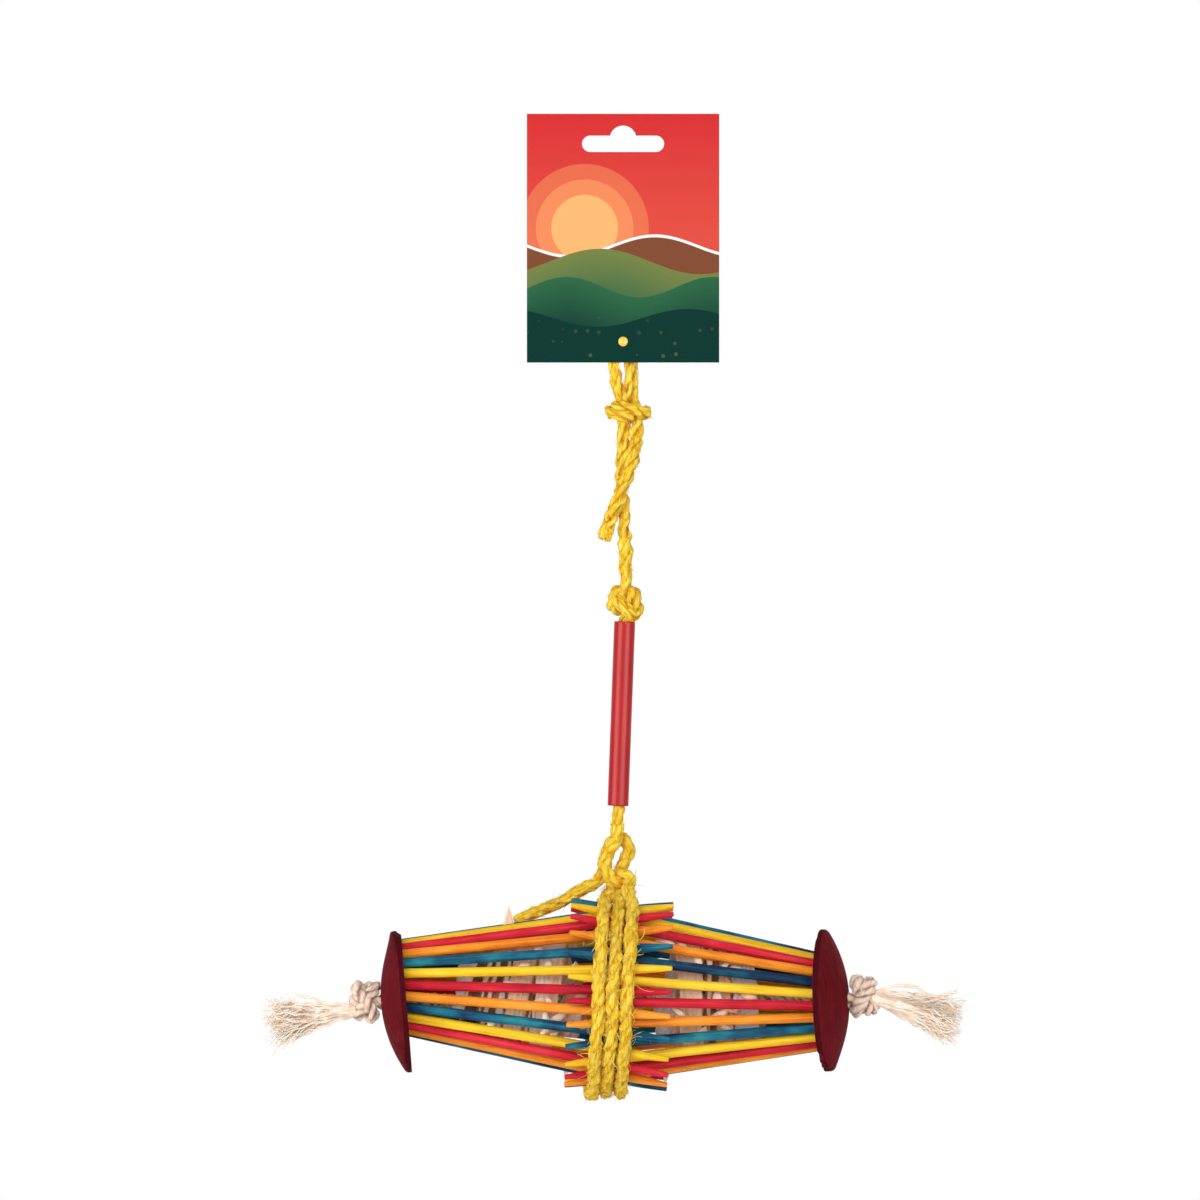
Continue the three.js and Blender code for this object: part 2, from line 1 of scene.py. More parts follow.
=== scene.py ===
"""Looks of a hanging foraging toy for cage birds.

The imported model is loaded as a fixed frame. Its soft and round pieces are replaced by finer ones: laid
ropes with their knots and loose fibres, dyed sticks, stained discs, a leaf filling, frayed ends, a tube and
a rivet. The card keeps its solid and gets a printed finish. Lengths are in metres, +Z is up and the front
faces -Y.
"""

import itertools
import math

import bpy
import numpy as np
from mathutils import Matrix


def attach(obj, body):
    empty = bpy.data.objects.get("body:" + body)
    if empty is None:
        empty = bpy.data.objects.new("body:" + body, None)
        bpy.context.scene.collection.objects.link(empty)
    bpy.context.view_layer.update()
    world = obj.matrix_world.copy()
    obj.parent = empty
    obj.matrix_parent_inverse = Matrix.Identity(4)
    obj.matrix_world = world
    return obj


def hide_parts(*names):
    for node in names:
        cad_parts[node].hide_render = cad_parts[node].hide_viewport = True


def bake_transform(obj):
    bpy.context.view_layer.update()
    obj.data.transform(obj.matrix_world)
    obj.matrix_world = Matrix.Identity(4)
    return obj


bl_info = {
    "name": "Hanging foraging toy",
    "version": (1, 0, 0),
    "blender": (4, 5, 0),
    "location": "View3D > Sidebar > Foraging Toy",
    "description": "Dresses the packed foraging toy: ropes, sticks, discs, filling, tube, card and stage",
    "category": "Add Mesh",
}

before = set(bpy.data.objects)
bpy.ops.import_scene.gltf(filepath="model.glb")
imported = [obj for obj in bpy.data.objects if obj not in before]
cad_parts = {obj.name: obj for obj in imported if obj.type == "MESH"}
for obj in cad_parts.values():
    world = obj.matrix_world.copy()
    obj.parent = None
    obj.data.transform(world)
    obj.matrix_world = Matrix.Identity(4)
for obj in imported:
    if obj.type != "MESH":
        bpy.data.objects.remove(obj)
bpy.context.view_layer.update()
TAU = 2 * math.pi
MM = 0.001
ACROSS = np.array([1.0, 0, 0])
FRONT = np.array([0, -1.0, 0])
UP = np.array([0, 0, 1.0])

# Sizes repeated from the part's source
CLEARANCE = 0.3 * MM
ROPE_RADIUS = 2.5 * MM
CORE_RADIUS = 2.75 * MM
ROPE_Y = 3.2 * MM
RIVET_DROP = 84.2 * MM
UPPER_ROPE_LENGTH = 94.4 * MM
EYE_RADIUS = 3.8 * MM
KNOT_TIGHTNESS = 0.92
KNOT_HEIGHT = 11.7 * MM
TUBE_TOP = 14.8 * MM
TUBE_LENGTH = 72 * MM
TUBE_RADIUS = 4.1 * MM
TUBE_BORE = 3 * MM
LOWER_ROPE_LENGTH = 10 * MM
ROPE_JOIN_IN_TUBE = 20 * MM
HITCH_HEIGHT = 26.3 * MM
STICK_RADIUS = 1.9 * MM
STICK_TIP_RADIUS = 0.95 * MM
STICK_TAPER = 13 * MM
STICKS_PER_HALF = 24
WAIST_SPACING = 4.24 * MM
RING_SPACING = 4.49 * MM
STICK_HALF_ANGLE = math.pi / STICKS_PER_HALF
WAIST_RADIUS = WAIST_SPACING / (2 * math.sin(STICK_HALF_ANGLE / 2))
RING_RADIUS = RING_SPACING / (2 * math.sin(STICK_HALF_ANGLE))
DISC_RADIUS = RING_RADIUS + 10.5 * MM
DISC_THICKNESS = 10 * MM
DISC_RIM = 2.2 * MM
CAGE_LEAN = math.radians(2.14)
BINDING_PITCH = 5.5 * MM
BINDING_START = 4.4 * MM
CORE_KNOT_LENGTH = 12 * MM
TASSEL_LENGTH = 35 * MM
LEAF_PITCH = 10.5 * MM
LEAF_WIDTH = 9.8 * MM
LEAF_FROM_WAIST = 10 * MM

# Points worked out from those sizes
ROPE_LEAN = math.radians(2.1)
ROPE_DOWN = np.array([-math.sin(ROPE_LEAN), 0, -math.cos(ROPE_LEAN)])
RIVET = np.array([0, ROPE_Y, -RIVET_DROP])
SWING = np.array([1.2 * MM, ROPE_Y, -RIVET_DROP - UPPER_ROPE_LENGTH])
KNOT_TOP = ROPE_RADIUS + CLEARANCE
TUBE_END = TUBE_TOP + TUBE_LENGTH
TILT = SWING + (TUBE_END + LOWER_ROPE_LENGTH) * ROPE_DOWN
WAIST_SEAT = (WAIST_RADIUS + STICK_RADIUS + CLEARANCE + ROPE_RADIUS) / math.cos(STICK_HALF_ANGLE)
TOP_KNOT = RIVET + np.array([2.2 * MM, 0, -27.3 * MM])
HITCH = TILT + np.array([2.2 * MM, -1.5 * MM, -0.79 * HITCH_HEIGHT])
HITCH_EYE = TILT + np.array([-0.5 * MM, -0.5 * MM, -0.42 * HITCH_HEIGHT])
HITCH_NECK = TILT + np.array([1.2 * MM, -1.5 * MM, -0.92 * HITCH_HEIGHT])
CAGE_CENTRE = TILT + np.array([0.75 * MM, 0, -HITCH_HEIGHT - WAIST_SEAT])

# Each half of the cage: its side, how far out and how high its disc sits, and how that is turned
HALVES = {
    "left": (-1, 82.8 * MM, -5.7 * MM, math.radians(6.7), math.radians(1.5)),
    "right": (1, 79.6 * MM, 0.7 * MM, math.radians(4.3), math.radians(10)),
}
STICK_COLOURS = ("red", "yellow", "blue", "orange")

# How finely the pieces are made
ROPE_SIDES = 42
TUBE_SIDES = 64
STICK_SIDES = 20
DISC_SIDES = 144
LEAF_STATIONS = 240
CURL_STATIONS = 22
SHAVINGS = 60

# Line of the middle knot, in rope radii across, above and in front of its middle
MIDDLE_KNOT = (
    (0.0, -0.4, -0.75), (-1.1, -0.95, -0.5), (-1.85, -0.55, 0.1), (-1.6, 0.2, 0.35), (-1.75, 1.05, 0.1),
    (-1.1, 1.75, -0.35), (0.1, 1.5, -1.1), (1.1, 1.75, -0.4), (1.6, 0.9, 0.2), (1.65, -0.2, 0.3),
    (2.0, -1.3, 0.45), (1.4, -2.0, 0.8), (0.5, -1.5, 1.45), (-0.4, -0.6, 1.6), (-1.1, 0.2, 1.25),
    (-1.2, 0.8, 0.3),
)

# Stopper knots of the natural rope: lean and lift
CORE_KNOTS = {"left": (0.58, 0.0), "right": (0.5, 1.6 * MM)}

# Frayed ends of the natural rope: lift, droop, spread and opening
TASSELS = {
    "left": (-3.5 * MM, math.radians(6.5), 8.8 * MM, 1.9),
    "right": (2 * MM, math.radians(16), 8.4 * MM, 1.0),
}

# Strands that stand away from the frayed ends, in millimetres along the rope and above their root
LOOSE_STRANDS = {
    "left": [[(1, -1), (12, -5), (20, -7.5), (24, -10.5), (28, -9.5), (31, -12)],
             [(2, 1), (6, 2.6), (10, 2.4), (14, 3), (19, 5), (25, 6.2)]],
    "right": [[(0, 0.5), (9, 3.5), (18.7, 2.7), (23.4, -0.8), (33.5, 1.6)]],
}


# Paths and frames


def unit(vectors):
    return vectors / np.linalg.norm(vectors, axis=-1, keepdims=True)


def turn_y(angle):
    """Matrix that turns about +Y."""
    c, s = math.cos(angle), math.sin(angle)
    return np.array([[c, 0, s], [0, 1, 0], [-s, 0, c]])


def turn_z(angle):
    """Matrix that turns about +Z."""
    c, s = math.cos(angle), math.sin(angle)
    return np.array([[c, -s, 0], [s, c, 0], [0, 0, 1]])


def from_cage(points):
    """Points of the cage's own frame, turned by its lean about +Y and moved to its centre."""
    return points @ turn_y(CAGE_LEAN).T + CAGE_CENTRE


def run_of(path):
    """Length along a path at each of its points."""
    return np.concatenate([[0.0], np.cumsum(np.linalg.norm(np.diff(path, axis=0), axis=1))])


def even_steps(path, step):
    """The same path with its points at even steps of its length."""
    run = run_of(path)
    at = np.linspace(0, run[-1], max(2, round(run[-1] / step)) + 1)
    return np.stack([np.interp(at, run, path[:, k]) for k in range(3)], axis=1)


def smooth_path(points, step):
    """Centripetal Catmull-Rom curve through points, at even steps.

    Each span is blended by the Barry-Goldman pyramid, with knots spaced by the square root of the distance
    between points. The end points are mirrored, which gives the end spans their slope."""
    p = np.asarray(points, float)
    p = np.vstack([2 * p[0] - p[1], p, 2 * p[-1] - p[-2]])
    gaps = np.sqrt(np.linalg.norm(np.diff(p, axis=0), axis=1))
    knots = np.concatenate([[0.0], np.cumsum(gaps)])
    span = np.arange(len(p) - 3)
    t0, t1, t2, t3 = (knots[span + k][:, None, None] for k in range(4))
    p0, p1, p2, p3 = (p[span + k][:, None, :] for k in range(4))
    t = t1 + (t2 - t1) * np.linspace(0, 1, 24, endpoint=False)[None, :, None]

    def between(a, b, start, end):
        return ((end - t) * a + (t - start) * b) / (end - start)

    a1, a2, a3 = between(p0, p1, t0, t1), between(p1, p2, t1, t2), between(p2, p3, t2, t3)
    b1, b2 = between(a1, a2, t0, t2), between(a2, a3, t1, t3)
    return even_steps(np.vstack([between(b1, b2, t1, t2).reshape(-1, 3), p[-2]]), step)


def carried_frame(path, reference=ACROSS):
    """Tangent, normal and binormal along a path, carried without twist.

    Each step reflects the normal twice: in the plane midway between two points, and then so that the
    reflected tangent meets the next one."""
    tangent = unit(np.gradient(path, axis=0))
    first = unit(reference - tangent[0] * (tangent[0] @ reference))

    def carry(normal, i):
        step = path[i + 1] - path[i]
        mirrored = normal - 2 * (step @ normal) / (step @ step) * step
        turned = tangent[i] - 2 * (step @ tangent[i]) / (step @ step) * step
        lift = tangent[i + 1] - turned
        return mirrored - 2 * (lift @ mirrored) / max(lift @ lift, 1e-18) * lift

    normal = np.array(list(itertools.accumulate(range(len(path) - 1), carry, initial=first)))
    return tangent, normal, np.cross(tangent, normal)


def waves(along, count, rng, slow, fast):
    """Smooth wander between about -1 and 1: sines of random phase and of lengths from slow to fast."""
    lengths = np.geomspace(slow, fast, 4)
    phase = rng.uniform(0, TAU, (4, count))
    return np.sin(TAU * along[:, None, None] / lengths[:, None] + phase).mean(axis=1)


def knot_turns(centre, along, across, out, half_width, half_depth, turns, rise, phase):
    """Turns that ride round a rope: an ellipse that climbs by rise and sinks into the rope at both ends."""
    share = np.linspace(0, 1, round(12 * turns) + 1)[:, None]
    angle = phase + share * turns * TAU
    sink = 0.3 + 0.7 * np.minimum(1, 5 * np.minimum(share, 1 - share))
    ring = across * half_width * np.cos(angle) + out * half_depth * np.sin(angle)
    return centre + sink * ring + along * rise * (share - 0.5)


def overhand(centre, along, across, out, half_width, half_depth, tilt):
    """Line of an overhand knot drawn tight: two turns round a rope that lean opposite ways.

    The first turn passes in front of the second. It leans by tilt, so that its side towards across lies
    further along the rope. Both ends sink into the rope at the back."""
    share = np.linspace(0, 1, 57)[:, None]
    angle = 2 * TAU * share - math.pi / 2
    change = np.tanh(8 * (0.5 - share))
    sideways = np.cos(tilt * change) * across + np.sin(tilt * change) * along
    ring = half_width * np.cos(angle) * sideways + half_depth * (0.84 + 0.16 * change) * np.sin(angle) * out
    return centre + (0.4 + 0.6 * np.minimum(1, 9 * np.minimum(share, 1 - share))) * ring


def drawn_tight(path, centre, reach, share):
    """A path drawn in towards a knot's centre, by a share that falls off with distance as a bell.

    A share below zero opens the path instead. Reach and share are single values, or one for each axis."""
    away = path - centre
    return path - share * np.exp(-((away / reach) ** 2).sum(axis=1, keepdims=True)) * away


def route(anchor, drop, offsets):
    """Points beside and behind an anchor in rope radii, and below it in shares of a drop."""
    return anchor + np.array(offsets) * np.array([ROPE_RADIUS, ROPE_RADIUS, -drop])


# Surfaces


def tube_mesh(name, rings, attributes=None, folded=True):
    """Mesh of closed tubes from rings of the shape tubes, stations, sides, 3.

    Neighbouring rings are joined by quads that face outwards, and each end is closed by a fan round its own
    middle. A single tube that is folded gets a map for baking: the unrolled tube in rows, and its ends in a
    row of their own."""
    tubes, stations, sides, _ = rings.shape
    ends = rings[:, [0, -1]].mean(axis=2).reshape(-1, 3)
    points = np.vstack([rings.reshape(-1, 3), ends])
    t, i, j = np.meshgrid(np.arange(tubes), np.arange(stations - 1), np.arange(sides), indexing="ij")
    steps = np.array([[0, 0], [0, 1], [1, 1], [1, 0]])
    row, column = i[..., None] + steps[:, 0], j[..., None] + steps[:, 1]
    quads = (t[..., None] * stations + row) * sides + column % sides
    t, end, j = np.meshgrid(np.arange(tubes), np.arange(2), np.arange(sides), indexing="ij")
    ring = (t * stations + end * (stations - 1)) * sides
    one, two = ring + j, ring + (j + 1) % sides
    middle = len(points) - len(ends) + 2 * t + end
    fans = np.stack([middle, np.where(end == 1, one, two), np.where(end == 1, two, one)], axis=-1)
    corners = np.concatenate([quads.ravel(), fans.ravel()])
    quad_starts, fan_starts = np.arange(quads[..., 0].size) * 4, np.arange(fans[..., 0].size) * 3
    starts = np.concatenate([quad_starts, quads.size + fan_starts])
    mesh = bpy.data.meshes.new(name)
    mesh.vertices.add(len(points))
    mesh.vertices.foreach_set("co", points.ravel())
    mesh.loops.add(len(corners))
    mesh.loops.foreach_set("vertex_index", corners.astype(np.int32))
    mesh.polygons.add(len(starts))
    mesh.polygons.foreach_set("loop_start", starts.astype(np.int32))
    mesh.polygons.foreach_set("use_smooth", np.ones(len(starts), bool))
    if folded:
        girth = np.linalg.norm(np.diff(rings[0], axis=1), axis=2).sum(axis=1).mean()
        length = run_of(rings[0].mean(axis=1))[-1]
        rows = max(1, round(math.sqrt(length / girth)))
        per_row = math.ceil((stations - 1) / rows)
        fold = i[..., None] // per_row
        u = (row - fold * per_row) / per_row
        v = (fold + 0.03 + 0.94 * column / sides) / (rows + 1)
        angle = TAU / sides * np.stack([0 * j, j + (end == 0), j + (end == 1)], axis=-1)
        reach = np.array([0, 0.45, 0.45])
        cap_u = 0.3 + 0.4 * end[..., None] + reach * np.cos(angle) / (rows + 1)
        cap_v = (rows + 0.5 + reach * np.sin(angle)) / (rows + 1)
        u, v = np.concatenate([u.ravel(), cap_u.ravel()]), np.concatenate([v.ravel(), cap_v.ravel()])
        mesh.uv_layers.new(name="OFBake").data.foreach_set("uv", np.stack([u, v], axis=1).ravel())
    for label, values in (attributes or {}).items():
        values = values.reshape(tubes, stations, sides, -1)
        closing = values[:, [0, -1]].mean(axis=2).reshape(-1, values.shape[-1])
        values = np.vstack([values.reshape(-1, values.shape[-1]), closing])
        kind, field = ("FLOAT_VECTOR", "vector") if values.shape[-1] == 3 else ("FLOAT", "value")
        mesh.attributes.new(label, kind, "POINT").data.foreach_set(field, values.ravel().astype(np.float32))
    mesh.update(calc_edges=True)
    mesh.validate()
    return mesh


def ridges(stations, angle, bins, half, rng):
    """Fibre ridges along a rope: noise smoothed along it, read at each point's angle round it."""
    weights = np.hanning(2 * half + 3)[1:-1]
    noise = rng.normal(size=(stations + 2 * half, bins))
    noise = sum(w * noise[k : k + stations] for k, w in enumerate(weights)) / np.linalg.norm(weights)
    place = angle / TAU * bins
    low = np.floor(place).astype(int)
    row = np.arange(stations)[:, None]
    return noise[row, low % bins] + (place - low) * (noise[row, (low + 1) % bins] - noise[row, low % bins])


def laid_rings(path, radius, lay, seed, reference, brushed):
    """Rings of a rope of three strands, each point's place on the straightened rope, and the painted shade of
    its grooves.

    Each strand is a circle off the rope's middle that goes round it once in each lay length, and the section
    is the outline of the three circles. They swell and wander by sines, and ridges of fibre stand on them. A
    brushed rope has its circles nearer the middle and wider, so that its strands hardly stand out."""
    rng = np.random.default_rng(seed)
    _, normal, binormal = carried_frame(path, reference)
    run = run_of(path)
    turned = (TAU * run / lay)[:, None]
    angle = turned + np.arange(ROPE_SIDES) * TAU / ROPE_SIDES
    at = turned + np.arange(3) * TAU / 3 + 0.8 * waves(run, 3, rng, 31 * MM, 8 * MM)
    off = (0.43 - 0.2 * brushed + 0.16 * waves(run, 3, rng, 27 * MM, 5 * MM))[:, None]
    thick = (0.6 + 0.17 * brushed + 0.12 * waves(run, 3, rng, 23 * MM, 4 * MM))[:, None]
    turn = angle[..., None] - at[:, None]
    outline = off * np.cos(turn) + np.sqrt(np.maximum(thick**2 - (off * np.sin(turn)) ** 2, 0))
    strand, outline = outline.argmax(axis=-1), np.maximum(outline.max(axis=-1), 0.45)
    coarse, fine = ridges(len(path), angle, 15, 9, rng), ridges(len(path), angle, 44, 4, rng)
    reach = radius * (outline + 0.09 * coarse + 0.06 * fine)
    ring = np.cos(angle)[..., None] * normal[:, None] + np.sin(angle)[..., None] * binormal[:, None]
    wander = 0.14 * radius * waves(run, 3, rng, 40 * MM, 12 * MM)
    rings = (path + wander)[:, None] + reach[..., None] * ring
    along = run[:, None] + 0.07 * strand + 0.31 * seed
    straight = np.stack([radius * np.cos(angle), radius * np.sin(angle), along], axis=-1)
    # Painted shade: how deep a point lies in a groove, less on brushed rope.
    groove_shade = (1 - 0.6 * brushed) * np.clip(1.02 - outline - 0.1 * coarse, 0, 1)
    return rings, {"straight": straight, "groove_shade": groove_shade}


def turned_rings(profile, sides, foot, axis, wobble=0.0, seed=0):
    """Rings of a turned piece: radius and height pairs carried round an axis that starts at foot."""
    profile = np.asarray(profile, float)
    axis = unit(axis)
    side = unit(np.cross(axis, [0.31, 0.83, 0.46]))
    angle = np.arange(sides) * TAU / sides
    ring = np.cos(angle)[:, None] * side + np.sin(angle)[:, None] * np.cross(axis, side)
    rng = np.random.default_rng(seed)
    reach = profile[:, :1] * (1 + wobble * waves(profile[:, 1], 1, rng, 60 * MM, 14 * MM))
    rings = foot + profile[:, None, 1:] * axis + reach[..., None] * ring
    shift = rng.uniform(0, 1, 3)
    height = np.broadcast_to(profile[:, 1:], (len(profile), sides))
    straight = np.stack([reach * np.cos(angle), reach * np.sin(angle), height], axis=-1) + shift
    return rings, {"straight": straight}


def hair_rings(paths, radius, sides, rng, taper=0.75):
    """Rings of thin tubes along paths of the shape hairs, stations, 3, thinner by a share at their ends."""
    tangent = unit(np.gradient(paths, axis=1))
    normal = unit(np.cross(tangent, rng.normal(size=(len(paths), 1, 3))))
    binormal = np.cross(tangent, normal)
    angle = (np.arange(sides) * TAU / sides)[:, None]
    narrowing = 1 - taper * np.linspace(0, 1, paths.shape[1]) ** 2
    reach = (np.broadcast_to(radius, len(paths))[:, None] * narrowing)[..., None, None]
    ring = np.cos(angle) * normal[:, :, None] + np.sin(angle) * binormal[:, :, None]
    return paths[:, :, None] + reach * ring


def ribbon_rings(middle, across, out, width, thickness, lift):
    """Rings of a thin strip: lift raises it off its middle line at each place across, and its back follows.

    across and out are directions at each station, width a length at each, lift has stations by places."""
    places = np.linspace(-0.5, 0.5, lift.shape[1])
    flat = middle[:, None] + (width[:, None] * places)[..., None] * across[:, None]
    front = flat + (lift + thickness / 2)[..., None] * out[:, None]
    back = flat + (lift - thickness / 2)[..., None] * out[:, None]
    rings = np.concatenate([back, front[:, ::-1]], axis=1)
    tangent = np.gradient(middle, axis=0)
    if (np.cross(across, out) * tangent).sum() < 0:
        rings = rings[:, ::-1]
    return rings


def add_piece(name, mesh, material, body=None, replaces=()):
    """Links a mesh as a piece of the object, at the origin."""
    obj = bpy.data.objects.new(name, mesh)
    bpy.context.scene.collection.objects.link(obj)
    mesh.materials.append(material)
    if body:
        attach(obj, body)
    if replaces:
        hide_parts(*replaces)
    return obj


# Materials


def screen(red, green, blue):
    """Linear colour from a screen colour's values of 0 to 255."""
    c = np.array([red, green, blue]) / 255
    return tuple(float(x) for x in np.where(c <= 0.04045, c / 12.92, ((c + 0.055) / 1.055) ** 2.4))


class Wiring:
    """Adds nodes to a tree. An input is a plain value or another node's output."""

    def __init__(self, tree):
        self.tree = tree

    def feed(self, socket, value):
        if isinstance(value, bpy.types.NodeSocket):
            self.tree.links.new(value, socket)
        elif hasattr(value, "__len__") and len(value) == 3 and len(socket.default_value) == 4:
            socket.default_value = (*value, 1)
        else:
            socket.default_value = value

    def node(self, kind, inputs=None, **settings):
        node = self.tree.nodes.new("ShaderNode" + kind)
        for key, value in settings.items():
            setattr(node, key, value)
        for key, value in (inputs or {}).items():
            self.feed(node.inputs[key], value)
        return node

    def math(self, operation, a, b=0.0, c=0.0, clamp=False):
        node = self.node("Math", {0: a, 1: b, 2: c}, operation=operation, use_clamp=clamp)
        return node.outputs[0]

    def span(self, value, low, high, start=0.0, end=1.0, smooth=False):
        """Value between low and high, as a value between start and end."""
        kind = "SMOOTHSTEP" if smooth else "LINEAR"
        inputs = {"Value": value, "From Min": low, "From Max": high, "To Min": start, "To Max": end}
        return self.node("MapRange", inputs, interpolation_type=kind).outputs[0]

    def mix(self, factor, a, b):
        node = self.node("Mix", data_type="RGBA", blend_type="MIX")
        for key, value in (("Factor_Float", factor), ("A_Color", a), ("B_Color", b)):
            self.feed(next(s for s in node.inputs if s.identifier == key), value)
        return next(s for s in node.outputs if s.identifier == "Result_Color")

    def ramp(self, value, stops):
        node = self.node("ValToRGB", {"Fac": value})
        ramp = node.color_ramp
        while len(ramp.elements) < len(stops):
            ramp.elements.new(0.5)
        for element, (place, colour) in zip(ramp.elements, stops):
            element.position = place
            element.color = (*colour, 1)
        return node.outputs["Color"]

    def noise(self, vector, scale, detail=3.0, rough=0.55):
        inputs = {"Vector": vector, "Scale": scale, "Detail": detail, "Roughness": rough}
        return self.node("TexNoise", inputs).outputs["Fac"]

    def attribute(self, name):
        return self.node("Attribute", attribute_name=name, attribute_type="GEOMETRY")

    def streaks(self, vector, fineness, stretch, patches):
        """The shared group of streaks and patches, with its own values here."""
        inputs = {"Vector": vector, "Fineness": fineness, "Stretch": stretch, "Patches": patches}
        group = self.node("Group", inputs, node_tree=bpy.data.node_groups.get("Streaks") or streaks_group())
        return group.outputs["Streak"], group.outputs["Patch"]


def new_group(name, inputs, outputs):
    """Shader node group with named inputs (kind, default) and outputs (kind)."""
    tree = bpy.data.node_groups.new(name, "ShaderNodeTree")
    for label, (kind, default) in inputs.items():
        socket = tree.interface.new_socket(label, in_out="INPUT", socket_type="NodeSocket" + kind)
        if default is not None:
            socket.default_value = default
    for label, kind in outputs.items():
        tree.interface.new_socket(label, in_out="OUTPUT", socket_type="NodeSocket" + kind)
    return Wiring(tree), tree.nodes.new("NodeGroupInput"), tree.nodes.new("NodeGroupOutput")


def streaks_group():
    """Streaks that run along a straightened piece, and broad patches over it, each from 0 to 1."""
    w, given, made = new_group(
        "Streaks",
        {"Vector": ("Vector", None), "Fineness": ("Float", 2000.0), "Stretch": ("Float", 0.05),
         "Patches": ("Float", 80.0)},
        {"Streak": "Float", "Patch": "Float"},
    )
    fine = given.outputs["Fineness"]
    lengthways = w.math("MULTIPLY", fine, given.outputs["Stretch"])
    scale = w.node("CombineXYZ", {"X": fine, "Y": fine, "Z": lengthways})
    drawn = w.node("VectorMath", {0: given.outputs["Vector"], 1: scale.outputs[0]}, operation="MULTIPLY")
    streak = w.span(w.noise(drawn.outputs[0], 1.0, 4.0, 0.6), 0.28, 0.72)
    patch = w.span(w.noise(given.outputs["Vector"], given.outputs["Patches"], 2.0), 0.3, 0.7)
    w.feed(made.inputs["Streak"], streak)
    w.feed(made.inputs["Patch"], patch)
    return w.tree


def empty_material(name):
    material = bpy.data.materials.new(name)
    material.use_nodes = True
    material.node_tree.nodes.clear()
    return material, Wiring(material.node_tree)


def new_material(name):
    material, w = empty_material(name)
    shader = w.node("BsdfPrincipled")
    output = w.node("OutputMaterial", {"Surface": shader.outputs[0]})
    output.is_active_output = True
    return material, w, shader


def bump(w, shader, height, distance, strength):
    node = w.node("Bump", {"Height": height, "Distance": distance, "Strength": strength})
    w.feed(shader.inputs["Normal"], node.outputs[0])


def rope_finish(name, dark, middle, light, shade_and_fleck, fleck, sheen):
    """Laid fibre: streaks along it, broad changes of tone, uneven painted shade in its grooves, and dark
    flecks.
    """
    material, w, shader = new_material(name)
    straight = w.attribute("straight").outputs["Vector"]
    groove_shade = w.attribute("groove_shade").outputs["Fac"]
    fine, broad = w.streaks(straight, 1800.0, 0.1, 150.0)
    coarse, spots = w.streaks(straight, 850.0, 0.28, 600.0)
    tone = w.math("MULTIPLY_ADD", fine, 0.55, w.math("MULTIPLY", coarse, 0.45))
    colour = w.ramp(tone, [(0.2, dark), (0.45, middle), (0.74, light)])
    colour = w.mix(w.math("MULTIPLY", broad, 0.3), colour, middle)
    # Painted shade: the groove colour laid into the grooves in patches, and also as dark flecks.
    shade = w.span(groove_shade, 0.06, 0.4, smooth=True)
    shade = w.math("MULTIPLY", shade, w.span(spots, 0, 1, 0.3, 1.0))
    shade = w.math("MAXIMUM", shade, w.span(coarse, 0.4, 0.1, 0.0, fleck))
    w.feed(shader.inputs["Base Color"], w.mix(shade, colour, shade_and_fleck))
    w.feed(shader.inputs["Roughness"], w.span(fine, 0, 1, 0.95, 0.75))
    shader.inputs["Specular IOR Level"].default_value = 0.05
    shader.inputs["Sheen Weight"].default_value = sheen
    bump(w, shader, tone, 0.4 * MM, 1.0)
    return material


def fibre_finish(name, dark, light, sheen):
    """Single loose fibres, a little lighter in one place than in another."""
    material, w, shader = new_material(name)
    place = w.node("TexCoord").outputs["Object"]
    w.feed(shader.inputs["Base Color"], w.mix(w.span(w.noise(place, 260.0, 1.0), 0.35, 0.65), dark, light))
    shader.inputs["Roughness"].default_value = 0.8
    shader.inputs["Specular IOR Level"].default_value = 0.05
    shader.inputs["Sheen Weight"].default_value = sheen
    return material


def stick_finish(name, dark, middle, light, mottle):
    """Dyed wood: grain along the stick, dye that soaked in unevenly, and some sticks darker than others."""
    material, w, shader = new_material(name)
    straight = w.attribute("straight").outputs["Vector"]
    grain, patch = w.streaks(straight, 1500.0, 0.025, 60.0)
    blots, _ = w.streaks(straight, 420.0, 0.2, 60.0)
    soaked = w.math("MULTIPLY", w.math("SUBTRACT", patch, 0.5), mottle)
    soaked = w.math("MULTIPLY_ADD", w.math("SUBTRACT", blots, 0.5), 0.6 * mottle, soaked)
    soaked = w.math("MULTIPLY_ADD", w.attribute("dye").outputs["Fac"], mottle, soaked)
    value = w.math("ADD", w.math("MULTIPLY_ADD", grain, 0.55, 0.22), soaked, clamp=True)
    w.feed(shader.inputs["Base Color"], w.ramp(value, [(0.0, dark), (0.5, middle), (1.0, light)]))
    w.feed(shader.inputs["Roughness"], w.span(grain, 0, 1, 0.62, 0.45))
    shader.inputs["Specular IOR Level"].default_value = 0.1
    bump(w, shader, grain, 0.12 * MM, 0.6)
    return material


